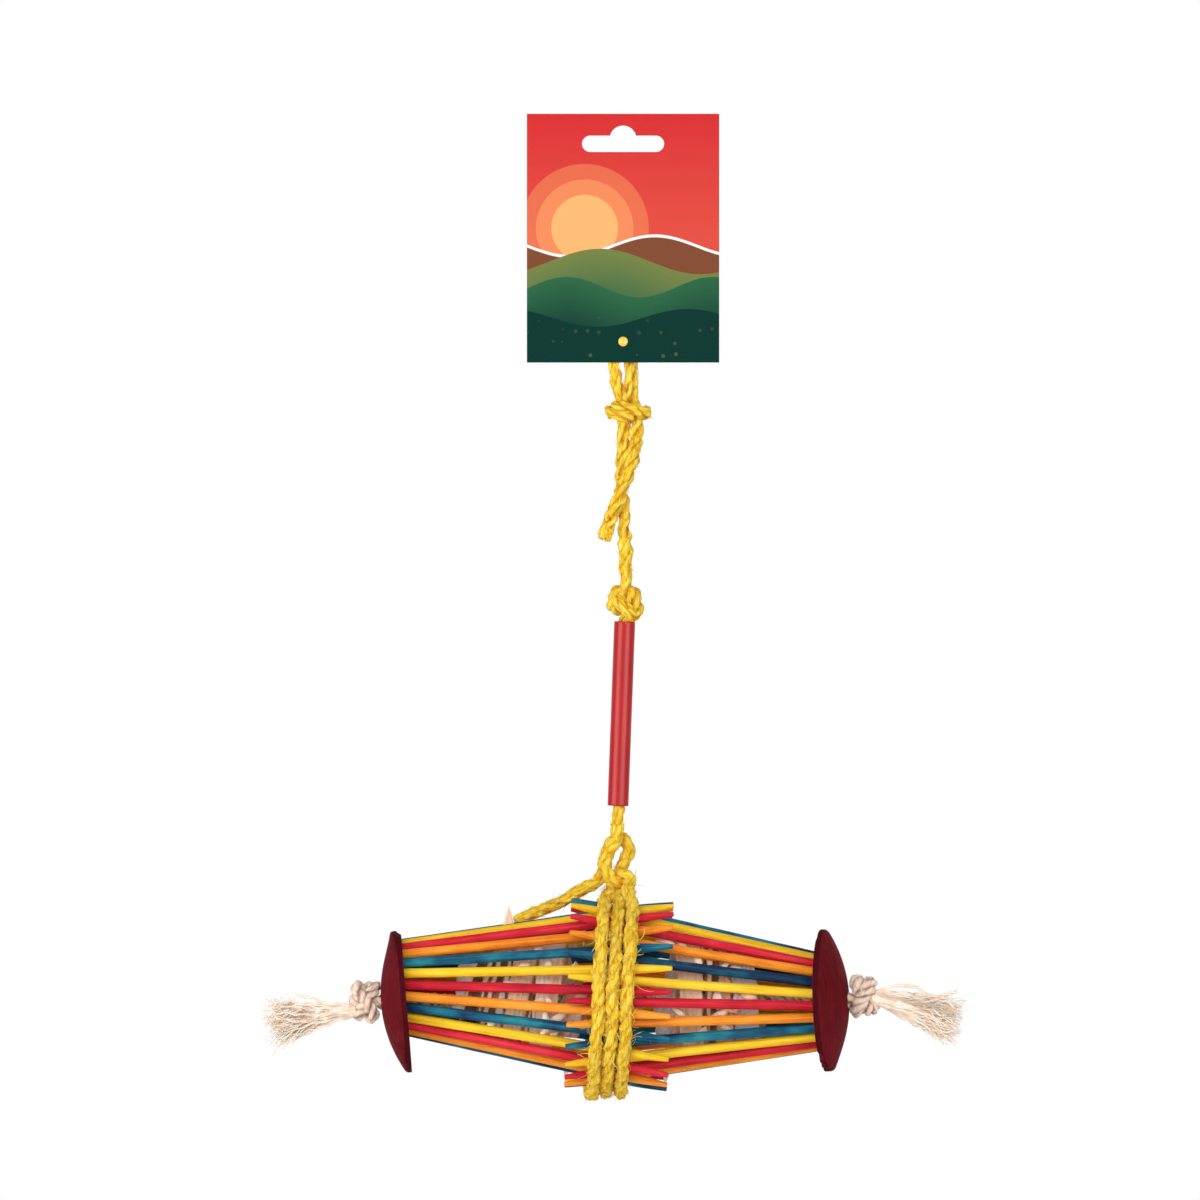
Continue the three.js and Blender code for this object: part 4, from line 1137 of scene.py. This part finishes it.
class TOY_OT_binding(ToyOperator):
    """Make the binding: hitch, three turns round the waist and the rear tail, with its loose fibres"""

    bl_idname = "foraging_toy.binding"
    bl_label = "Binding"

    def execute(self, context):
        path = binding_path(context.scene.toy_rope.step)
        binding = yellow_piece("binding", path, 13, brushed=0.55)
        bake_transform(binding)
        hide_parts("binding_rope")
        below_tube = path[run_of(path) > 8 * MM]
        near_waist = np.abs(below_tube[:, 2] - CAGE_CENTRE[2]) < 28 * MM
        front = np.flatnonzero((below_tube[:, 1] < -15 * MM) & near_waist)
        fibres = loose_fibres("binding_fibres", below_tube, 3600, 200, 39, front, 13.5 * MM)
        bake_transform(fibres)
        end = open_end("binding_end", path, 40)
        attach(end, "basket")
        return {"FINISHED"}


class TOY_OT_tube(ToyOperator):
    """Make the tube on the rope: a wall turned round the rope's line, with rounded lips"""

    bl_idname = "foraging_toy.tube"
    bl_label = "Tube"

    def execute(self, context):
        body = context.scene.toy_body
        lip = 0.35 * MM
        curve = np.linspace(0, math.pi / 2, 5)
        near = np.stack([TUBE_RADIUS - lip + lip * np.sin(curve), lip - lip * np.cos(curve)], axis=1)
        far = np.stack([near[::-1, 0], TUBE_LENGTH - near[::-1, 1]], axis=1)
        along = np.linspace(2 * lip, TUBE_LENGTH - 2 * lip, 40)
        wall = np.stack([np.full_like(along, TUBE_RADIUS), along], axis=1)
        inside = np.array([[TUBE_BORE + lip, TUBE_LENGTH], [TUBE_BORE, TUBE_LENGTH - lip],
                           [TUBE_BORE, lip], [TUBE_BORE + lip, 0]])
        profile = np.vstack([near, wall, far, inside, near[:1]])
        foot = SWING + TUBE_TOP * ROPE_DOWN
        rings, attributes = turned_rings(profile, TUBE_SIDES, foot, ROPE_DOWN, 0.004, 41)
        mesh = tube_mesh("tube_body", rings[None], attributes)
        finish = tube_finish(body.tube_dark, body.tube, body.tube_light)
        add_piece("tube_body", mesh, finish, "tube", ["red_tube"])
        return {"FINISHED"}


class TOY_OT_card(ToyOperator):
    """Print the header card and make the rivet that pins the rope to it"""

    bl_idname = "foraging_toy.card"
    bl_label = "Card and rivet"

    def execute(self, context):
        body = context.scene.toy_body
        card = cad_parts["header_card"]
        card.data.materials.clear()
        card.data.materials.append(card_finish(
            body.card_red, body.card_coral, body.card_sun, body.card_brown, body.card_olive, body.card_green,
            body.card_deep, body.card_paper, body.card_board))
        front, back = 0.7 * MM, ROPE_Y + ROPE_RADIUS + CLEARANCE
        head_radius, head_height, shank_radius = 1.9 * MM, 0.8 * MM, 1 * MM
        curve = np.linspace(0.02, math.pi / 2, 10)
        head = np.stack([head_radius * np.sin(curve), -front - head_height * np.cos(curve)], axis=1)
        shank = [[head_radius, -front], [shank_radius, -front], [shank_radius, back]]
        tail = np.array([[3.6, 0], [4, 0.15], [4, 0.6], [3.7, 0.8], [0.05, 0.8]]) * MM + [0, back]
        rings, _ = turned_rings(np.vstack([head, shank, tail]), 40, RIVET * [1, 0, 1], -FRONT)
        add_piece("rivet", tube_mesh("rivet", rings[None]), rivet_finish(body.rivet, body.rivet_rubbed),
                  "card", ["card_rivet"])
        return {"FINISHED"}


def node_points(name):
    """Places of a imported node's vertices."""
    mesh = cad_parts[name].data
    points = np.empty(3 * len(mesh.vertices))
    mesh.vertices.foreach_get("co", points)
    return points.reshape(-1, 3)


def stick_colour(i):
    return STICK_COLOURS[i % len(STICK_COLOURS)]


def stick_node(half, i):
    """Name of a packed stick."""
    return f"{half}_stick_{i + 1:02d}_{stick_colour(i)}"


def stick_line(name):
    """Foot, direction and length of a packed stick: the long axis of its vertices, from its thick end."""
    points = node_points(name)
    middle = points.mean(axis=0)
    axis = np.linalg.svd(points - middle, full_matrices=False)[2][0]
    run = (points - middle) @ axis
    near = 0.01 * MM
    low, high = points[run < run.min() + near], points[run > run.max() - near]
    if np.ptp(low, axis=0).sum() < np.ptp(high, axis=0).sum():
        low, high = high, low
    foot, tip = (low.min(axis=0) + low.max(axis=0)) / 2, (high.min(axis=0) + high.max(axis=0)) / 2
    return foot, unit(tip - foot), np.linalg.norm(tip - foot)


def stick_profile(length):
    """Radius and height pairs of a stick: broken edge, straight body, taper as a power, and blunt tip."""
    edge = 0.2 * MM
    body = np.linspace(2 * edge, length - STICK_TAPER, 24)
    taper = np.linspace(0.06, 1, 10)
    reach = STICK_RADIUS + (STICK_TIP_RADIUS - STICK_RADIUS) * taper**1.15
    return np.vstack([
        [[STICK_RADIUS - edge, 0], [STICK_RADIUS, edge]],
        np.stack([np.full_like(body, STICK_RADIUS), body], axis=1),
        np.stack([reach, length - STICK_TAPER + (STICK_TAPER - edge) * taper], axis=1),
        [[STICK_TIP_RADIUS - edge, length]],
    ])


class TOY_OT_sticks(ToyOperator):
    """Make the dyed sticks: round rods with a tapered, blunt tip, each where its packed stick is"""

    bl_idname = "foraging_toy.sticks"
    bl_label = "Sticks"

    def execute(self, context):
        dyes = context.scene.toy_stick
        mottles = {"red": 0.35, "yellow": 0.25, "orange": 0.3, "blue": 0.95}
        finishes = {
            colour: stick_finish("dyed_" + colour, getattr(dyes, colour + "_dark"), getattr(dyes, colour),
                                 getattr(dyes, colour + "_light"), mottles[colour])
            for colour in STICK_COLOURS
        }
        # How far the dye differs between the sticks of a half, and how much lighter it is in all of them
        soak = {"left": (0.35, -0.12), "right": (0.2, -0.2)}
        for half, i in itertools.product(HALVES, range(STICKS_PER_HALF)):
            colour, node = stick_colour(i), stick_node(half, i)
            foot, axis, length = stick_line(node)
            seed = 100 + i + 50 * len(half)
            rings, attributes = turned_rings(stick_profile(length), STICK_SIDES, foot, axis, 0.03, seed)
            spread, lighter = soak[half]
            attributes["dye"] = np.full(rings.shape[:2], spread * math.sin(2.4 * i + len(half)) + lighter)
            mesh = tube_mesh(node.replace("stick", "dowel"), rings[None], attributes)
            add_piece(mesh.name, mesh, finishes[colour], "basket", [node])
        return {"FINISHED"}


def disc_place(half):
    """Turn and place of a disc: rolled about +Y and yawed about +Z in the cage, then moved out along it."""
    side, reach, height, roll, yaw = HALVES[half]
    turn = turn_y(CAGE_LEAN) @ turn_y(-roll) @ turn_z(-side * yaw)
    return turn, from_cage(np.array([side * reach, 0, height]))


def disc_rings(half, seed, chips, blunt):
    """Rings of a domed disc: flat face, rounded rim, low wall and a dome that is part of a sphere.

    Chips take a little off the rim's inner edge near an angle, by a bell of that width and depth. Blunt makes
    the rim thicker at an angle, by a bell too."""
    side = HALVES[half][0]
    turn, centre = disc_place(half)
    rise = DISC_THICKNESS - DISC_RIM
    sphere = (DISC_RADIUS**2 + rise**2) / (2 * rise)
    edge = 0.4 * MM
    curve = np.linspace(0, math.pi / 2, 7)
    face = np.stack([np.linspace(0.4 * MM, DISC_RADIUS - edge, 24, endpoint=False), np.zeros(24)], axis=1)
    rim = np.stack([DISC_RADIUS - edge + edge * np.sin(curve), edge - edge * np.cos(curve)], axis=1)
    wall_reach = DISC_RADIUS - 0.35 * MM * np.linspace(0, 1, 7) ** 4
    wall = np.stack([wall_reach, np.linspace(0.8 * MM, DISC_RIM, 7)], axis=1)
    spread = np.arcsin((DISC_RADIUS - 0.8 * MM) / sphere) * np.linspace(1, 0.004, 40)
    dome = np.stack([sphere * np.sin(spread), DISC_THICKNESS - sphere * (1 - np.cos(spread))], axis=1)
    profile = np.vstack([face, rim, wall, dome])
    angle = np.arange(DISC_SIDES) * TAU / DISC_SIDES
    rng = np.random.default_rng(seed)

    def bell(at, width, height):
        return height * np.exp(-(((angle - at + math.pi) % TAU - math.pi) / width) ** 2)

    taken = sum(bell(*chip) for chip in chips)
    rough = 0.12 * MM * np.sin(angle[:, None] * np.arange(2, 7) + rng.uniform(0, TAU, 5)).mean(axis=1)
    outer = (profile[:, :1] / DISC_RADIUS) ** 6
    height = profile[:, 1:] + np.clip(profile[:, 1:] / DISC_RIM, 0, 1) * outer * bell(*blunt)
    near_face = 1 - np.clip(height / (0.9 * DISC_RIM), 0, 1)
    reach = profile[:, :1] + outer * (rough - near_face * taken)
    ring = np.stack([np.zeros_like(angle), -np.cos(angle), side * np.sin(angle)], axis=1)
    local = reach[..., None] * ring + side * height[..., None] * ACROSS
    return local @ turn.T + centre


def core_line():
    """Direction of the natural rope, from the left disc to the right one."""
    return unit(disc_place("right")[1] - disc_place("left")[1])


def disc_holes(half):
    """Rings of rods that fill a disc's holes: the sockets of its sticks and the bore of the natural rope."""
    socket, bore = STICK_RADIUS + 0.12 * MM, CORE_RADIUS + CLEARANCE
    holes = []
    for i in range(STICKS_PER_HALF):
        foot, axis, _ = stick_line(stick_node(half, i))
        holes.append(turned_rings([(socket, -CLEARANCE), (socket, 12 * MM)], STICK_SIDES, foot, axis)[0])
    ends = [(bore, -20 * MM), (bore, 20 * MM)]
    holes.append(turned_rings(ends, STICK_SIDES, disc_place(half)[1], core_line())[0])
    return np.stack(holes)


class TOY_OT_discs(ToyOperator):
    """Make the domed discs and cut the sockets of the sticks and the bore of the rope into them"""

    bl_idname = "foraging_toy.discs"
    bl_label = "Discs"

    def execute(self, context):
        body = context.scene.toy_body
        finish = disc_finish(body.disc_dark, body.disc, body.disc_light, body.disc_rim_shade, body.disc_worn)
        chips = {
            "left": [(4.66, 0.22, 2.4 * MM), (4.95, 0.05, 0.6 * MM)],
            "right": [(5.38, 0.1, 2 * MM), (5.15, 0.07, 1.6 * MM), (4.97, 0.05, 2.2 * MM),
                      (1.2, 0.1, 0.8 * MM)],
        }
        blunt = {"left": (4.71, 0.5, 2 * MM), "right": (4.71, 0.6, 1.1 * MM)}
        for half in HALVES:
            name = half + "_dome"
            rings = disc_rings(half, 51, chips[half], blunt[half])
            disc = bpy.data.objects.new(name, tube_mesh(name, rings[None], folded=False))
            context.scene.collection.objects.link(disc)
            cutter = bpy.data.objects.new("holes", tube_mesh("holes", disc_holes(half), folded=False))
            context.scene.collection.objects.link(cutter)
            cut = disc.modifiers.new("holes", "BOOLEAN")
            cut.operation, cut.solver, cut.object = "DIFFERENCE", "EXACT", cutter
            made = bpy.data.meshes.new_from_object(disc.evaluated_get(context.evaluated_depsgraph_get()))
            bpy.data.objects.remove(disc)
            bpy.data.objects.remove(cutter)
            made.name = name
            made.set_sharp_from_angle(angle=math.radians(38))
            add_piece(name, made, finish, "basket", [half + "_disc"])
        return {"FINISHED"}


def tassel_paths(root, way, length, spread, opening, locks, each, frizz, seed):
    """Paths of a frayed end, gathered in locks.

    The locks leave one spot and fan out as a power of their run, with waves that grow towards their ends.
    Each fibre keeps to its lock at a distance that opens along it, frizzes, ends where it likes and hooks
    over there."""
    rng = np.random.default_rng(seed)
    side = unit(np.cross(way, UP))
    basis = np.stack([side, np.cross(side, way), way])
    t = np.linspace(0, 1, 31)

    def wave(count, low, high):
        beat, phase = rng.uniform(low, high, (count, 1, 2)), rng.uniform(0, TAU, (count, 1, 2))
        return (0.2 + 0.8 * t[:, None]) * np.sin(TAU * beat * t[:, None] + phase)

    angle, share = rng.uniform(0, TAU, (locks, 1)), np.sqrt(rng.random((locks, 1)))
    fan = (share * (2 * MM * (1 - t) + spread * t**opening))[..., None]
    fan = fan * np.stack([np.cos(angle), np.sin(angle)], axis=-1)
    lock = np.repeat(fan + 1.2 * MM * wave(locks, 0.8, 2.4), each, axis=0)
    count = locks * each
    apart = rng.normal(0, 1, (count, 1, 2)) * (0.25 * MM + 0.75 * MM * t[:, None] ** 1.5)
    hook = rng.normal(0, 1.5 * MM, (count, 1, 2)) * np.clip(t[:, None] / 0.3 - 2.33, 0, 1) ** 2
    across = lock + apart + hook + frizz * wave(count, 2, 6)
    reach = np.repeat(rng.uniform(0.86, 1, locks), each) * rng.uniform(0.8, 1.04, count)
    along = length * reach[:, None] * t
    sag = rng.uniform(0, 0.06, (count, 1)) * length * t**2
    local = np.concatenate([across, along[..., None]], axis=-1)
    return root + local @ basis - sag[..., None] * UP


def strand_paths(points, count, rng):
    """Paths of a loose strand: fibres round a smooth line, with waves that grow towards their ends."""
    line = smooth_path(points, 0.5 * MM)
    line = even_steps(line, run_of(line)[-1] / 30)
    t = np.linspace(0, 1, 31)[:, None]
    beat, phase = rng.uniform(1, 4, (count, 1, 3)), rng.uniform(0, TAU, (count, 1, 3))
    return line + 0.5 * MM * (0.25 + t) * np.sin(TAU * beat * t + phase)


def make_core_knot(half, apex, along, up):
    """Stopper knot of the natural rope, on the outside of a disc."""
    lean, lift = CORE_KNOTS[half]
    middle = apex + (CORE_KNOT_LENGTH / 2 - 0.6 * MM) * along + lift * up
    turns = overhand(middle, along, up, FRONT, half_width=1.2 * KNOT_TIGHTNESS * 2 * CORE_RADIUS,
                     half_depth=1.3 * CORE_RADIUS, tilt=lean)
    turns = smooth_path(turns, bpy.context.scene.toy_rope.step)
    side = HALVES[half][0]
    knot = natural_piece(half + "_knot", turns, 61 + side, side * along)
    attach(knot, "basket")
    return knot


def make_tassel(half, end, along, up):
    """Frayed end of the natural rope: yarns with a few loose strands, and fine fibres among them."""
    lift, droop, spread, opening = TASSELS[half]
    root = end - 3.5 * MM * along + lift * up
    fan = (root, unit(along - math.tan(droop) * UP), TASSEL_LENGTH + 2 * MM, spread, opening)
    side = HALVES[half][0]
    rng = np.random.default_rng(71 + side)
    axes = np.stack([along, up])
    loose = [root + MM * np.array(places) @ axes + MM * FRONT for places in LOOSE_STRANDS[half]]
    yarns = np.concatenate([
        tassel_paths(*fan, locks=44, each=4, frizz=0.45 * MM, seed=73 + side),
        *(strand_paths(points, 5, rng) for points in loose),
    ])
    fine = tassel_paths(*fan, locks=60, each=9, frizz=1.0 * MM, seed=75 + side)
    pieces = []
    for name, paths, thin, thick, sides, taper in (
            (half + "_tassel", yarns, 0.3 * MM, 0.52 * MM, 8, 0.6),
            (half + "_tassel_fibres", fine, 0.09 * MM, 0.16 * MM, 3, 0.75)):
        rings = hair_rings(paths, rng.uniform(thin, thick, len(paths)), sides, rng, taper)
        mesh = tube_mesh(name, rings, folded=False)
        pieces.append(add_piece(name, mesh, finish_of("natural_fibre"), "basket"))
    return pieces


class TOY_OT_core_rope(ToyOperator):
    """Make the natural rope through the discs, its stopper knots and its frayed ends"""

    bl_idname = "foraging_toy.core_rope"
    bl_label = "Natural rope"

    def execute(self, context):
        line = core_line()
        up = np.cross(FRONT, line)
        ends, extras = {}, []
        for half, (side, *_) in HALVES.items():
            along = side * line
            apex = disc_place(half)[1] + (DISC_THICKNESS + CLEARANCE) * along
            ends[half] = apex + CORE_KNOT_LENGTH * along
            extras += [make_core_knot(half, apex, along, up), *make_tassel(half, ends[half], along, up)]
        path = even_steps(np.array([ends["left"], ends["right"]]), context.scene.toy_rope.step)
        core = natural_piece("core", path, 65, UP)
        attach(core, "basket")
        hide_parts("core_rope")
        return {"FINISHED"}


def cage_inside(half, beside):
    """Middle of the cone of sticks, and the free radius inside it, at distances from the waist."""
    side, reach, height, *_ = HALVES[half]
    middle = np.stack([side * beside, 0 * beside, height * beside / reach], axis=-1)
    return middle, WAIST_RADIUS + (RING_RADIUS - WAIST_RADIUS) * beside / reach - STICK_RADIUS


def leaf_radial(angle):
    """Directions out of the cage's middle line, at angles from the top towards the front."""
    return np.stack([np.zeros_like(angle), -np.sin(angle), np.cos(angle)], axis=-1)


def leaf_band(half, turns, tones_and_shade, seed):
    """Rings of a leaf strip that winds round the natural rope inside the sticks, and its tone at each point.

    Its radius opens from the rope in its first turn, then follows the cage's cone, less a crumple of sines.
    Each of tones_and_shade is a pair of a place beside the waist in millimetres and a tone there; a tone near
    0 paints shade between the windings."""
    rng = np.random.default_rng(seed)
    turn = np.linspace(0, turns, LEAF_STATIONS)
    angle = TAU * turn
    beside = LEAF_FROM_WAIST + LEAF_WIDTH / 2 + LEAF_PITCH * turn
    middle, inside = cage_inside(half, beside)
    widest = inside - 2.4 * MM
    opening = np.clip(turn / 0.8, 0, 1)
    opening = opening**2 * (3 - 2 * opening)
    start = CORE_RADIUS + CLEARANCE
    crumple = 0.06 * (np.sin(5 * angle) - 1) + 0.06 * (waves(turn, 1, rng, 0.37, 0.09)[:, 0] - 1)
    radius = start + (widest - start) * opening + crumple * widest * opening
    radial = leaf_radial(angle)
    places = np.linspace(-0.5, 0.5, 21)
    lift = 0.5 * MM * waves(turn, 21, rng, 0.5, 0.12) - 1.2 * MM * places**2
    ragged = LEAF_WIDTH * (0.98 + 0.16 * waves(turn, 1, rng, 0.3, 0.05)[:, 0])
    width = ragged * np.clip(np.minimum(turn, turns - turn) / 0.06, 0.15, 1)
    across = np.broadcast_to(ACROSS, middle.shape)
    rings = ribbon_rings(middle + radius[:, None] * radial, across, radial, width, 0.35 * MM, lift)
    place = beside[:, None] + width[:, None] * places
    tone = np.interp(place, np.array(tones_and_shade)[:, 0] * MM, np.array(tones_and_shade)[:, 1])
    tone = tone + 0.06 * waves(turn, 21, rng, 0.4, 0.05)
    return from_cage(rings), np.concatenate([tone, tone[:, ::-1]], axis=1)


def leaf_curl(half, rng):
    """Rings of one loose shaving: an arc of a narrow strip, pointed at both ends, just inside the sticks."""
    beside = rng.uniform(13, 50) * MM
    middle, inside = cage_inside(half, beside)
    angle, turn = rng.uniform(0, TAU), rng.uniform(0, math.pi)
    out = leaf_radial(angle)
    along = math.cos(turn) * ACROSS + math.sin(turn) * np.cross(ACROSS, out)
    across = np.cross(out, along)
    bend, sweep = rng.uniform(3.5, 8) * MM, rng.uniform(1.2, 2.4)
    t = np.linspace(-0.5, 0.5, CURL_STATIONS)
    path = bend * (np.sin(sweep * t)[:, None] * along + (np.cos(sweep * t) - 1)[:, None] * out)
    path = path + middle + (inside - rng.uniform(0.2, 1.4) * MM) * out
    width = rng.uniform(1.8, 4) * MM * (1.02 - (2 * t) ** 2)
    normal = np.sin(sweep * t)[:, None] * along + np.cos(sweep * t)[:, None] * out
    lift = -0.4 * MM * np.linspace(-1, 1, 5) ** 2 + np.zeros((CURL_STATIONS, 1))
    across = np.broadcast_to(across, path.shape)
    return from_cage(ribbon_rings(path, across, normal, width, 0.2 * MM, lift))


def leaf_tip(half, beside, angle, rise, width):
    """Rings of a pointed bit of leaf that comes out between two sticks, edge on to them."""
    middle, inside = cage_inside(half, beside)
    t = np.linspace(0, 1, CURL_STATIONS)
    out = leaf_radial(angle)
    path = middle + (inside - 6 * MM + (rise + 6 * MM + 2 * STICK_RADIUS) * t)[:, None] * out
    path[:, 0] += 1.5 * MM * np.sin(2.2 * t)
    lift = 0.5 * MM * np.sin(3 * t)[:, None] * np.ones(5)
    across = np.broadcast_to(ACROSS, path.shape)
    normal = np.broadcast_to(np.cross(out, ACROSS), path.shape)
    return from_cage(ribbon_rings(path, across, normal, width * (1.03 - t**1.6), 0.25 * MM, lift))


def leaf_straight(rings, seed):
    """Where each point lies on the flattened strip: across it, and along its middle line."""
    across = np.linalg.norm(rings - rings[:, :1], axis=2)
    along = np.broadcast_to(run_of(rings.mean(axis=1))[:, None], across.shape)
    shift = 0.37 * seed
    return np.stack([across + shift, np.full_like(across, shift), along], axis=-1)


def add_leaf(name, rings, tone, straight, folded=False, replaces=()):
    """Links bits of leaf as one piece."""
    mesh = tube_mesh(name, rings, {"straight": straight, "tone": tone}, folded)
    add_piece(name, mesh, finish_of("dried_leaf"), "basket", replaces)


class TOY_OT_leaf(ToyOperator):
    """Make the leaf filling: a wound strip in each half, loose shavings, and bits that poke out"""

    bl_idname = "foraging_toy.leaf"
    bl_label = "Leaf filling"

    def execute(self, context):
        turns = {"left": 4.35, "right": 3.7}
        # Tone at places beside the waist in millimetres: stretches at 0 are painted shade between the
        # windings.
        tones_and_shade = {
            "left": [(12, 0.2), (18, 0.25), (19, 0.62), (28, 0.66), (29, 0.45), (41, 0.42), (42, 0.0),
                     (43.2, 0.0), (43.8, 0.7), (44.6, 0.7), (45.2, 0.02), (46.6, 0.0), (47.2, 0.8),
                     (47.8, 0.8), (48.4, 0.0), (51, 0.05), (52, 1.0), (59.3, 0.96), (59.9, 0.0), (70, 0.0)],
            "right": [(8, 0.92), (20.5, 1.0), (21.5, 0.42), (32, 0.46), (32.8, 0.02), (34, 0.0), (34.6, 0.6),
                      (35.2, 0.6), (35.8, 0.0), (38.2, 0.04), (38.8, 0.24), (43.4, 0.26), (44.2, 1.0),
                      (56, 0.94)],
        }
        # Bits that poke out: place beside the waist, angle between two sticks, rise and width
        low = math.pi + STICK_HALF_ANGLE
        tips = {
            "left": [(45.6 * MM, math.radians(5.5) - STICK_HALF_ANGLE, 10 * MM, 8 * MM),
                     (21 * MM, low + math.radians(5.5) - 2 * STICK_HALF_ANGLE, 3 * MM, 4 * MM)],
            "right": [(18 * MM, low - math.radians(2), 4 * MM, 6 * MM)],
        }
        for half in HALVES:
            band, tone = leaf_band(half, turns[half], tones_and_shade[half], 81)
            add_leaf(half + "_leaf", band[None], tone, leaf_straight(band, 1), True, [half + "_leaf_strip"])
            rng = np.random.default_rng(83 + len(half))
            curls = np.stack([leaf_curl(half, rng) for _ in range(SHAVINGS)])
            tone = np.broadcast_to(rng.choice([0.3, 0.55, 0.68, 0.7], (SHAVINGS, 1, 1)), curls.shape[:3])
            straight = np.stack([leaf_straight(curl, 2 + k) for k, curl in enumerate(curls)])
            add_leaf(half + "_shavings", curls, tone, straight)
            bits = np.stack([leaf_tip(half, *tip) for tip in tips[half]])
            straight = np.stack([leaf_straight(bit, 5 + k) for k, bit in enumerate(bits)])
            add_leaf(half + "_leaf_tips", bits, np.full(bits.shape[:3], 0.5), straight)
        return {"FINISHED"}


class TOY_PT_panel(bpy.types.Panel):
    """Lists the steps that dress the toy"""

    bl_idname = "TOY_PT_panel"
    bl_label = "Foraging Toy"
    bl_space_type = "VIEW_3D"
    bl_region_type = "UI"
    bl_category = "Foraging Toy"

    def draw(self, context):
        for operator in OPERATORS:
            self.layout.operator(operator.bl_idname)


OPERATORS = (
    TOY_OT_stage, TOY_OT_ropes, TOY_OT_binding, TOY_OT_core_rope, TOY_OT_tube, TOY_OT_card, TOY_OT_sticks,
    TOY_OT_discs, TOY_OT_leaf,
)


def register():
    for cls in (*SETTINGS.values(), *OPERATORS, TOY_PT_panel):
        bpy.utils.register_class(cls)
    for name, cls in SETTINGS.items():
        setattr(bpy.types.Scene, name, bpy.props.PointerProperty(type=cls))


def unregister():
    for name in SETTINGS:
        delattr(bpy.types.Scene, name)
    for cls in (TOY_PT_panel, *reversed(OPERATORS), *SETTINGS.values()):
        bpy.utils.unregister_class(cls)


def main():
    register()
    bpy.ops.foraging_toy.stage()
    bpy.ops.foraging_toy.ropes()
    bpy.ops.foraging_toy.binding()
    bpy.ops.foraging_toy.core_rope()
    bpy.ops.foraging_toy.tube()
    bpy.ops.foraging_toy.card()
    bpy.ops.foraging_toy.sticks()
    bpy.ops.foraging_toy.discs()
    bpy.ops.foraging_toy.leaf()


if __name__ == "__main__":
    main()
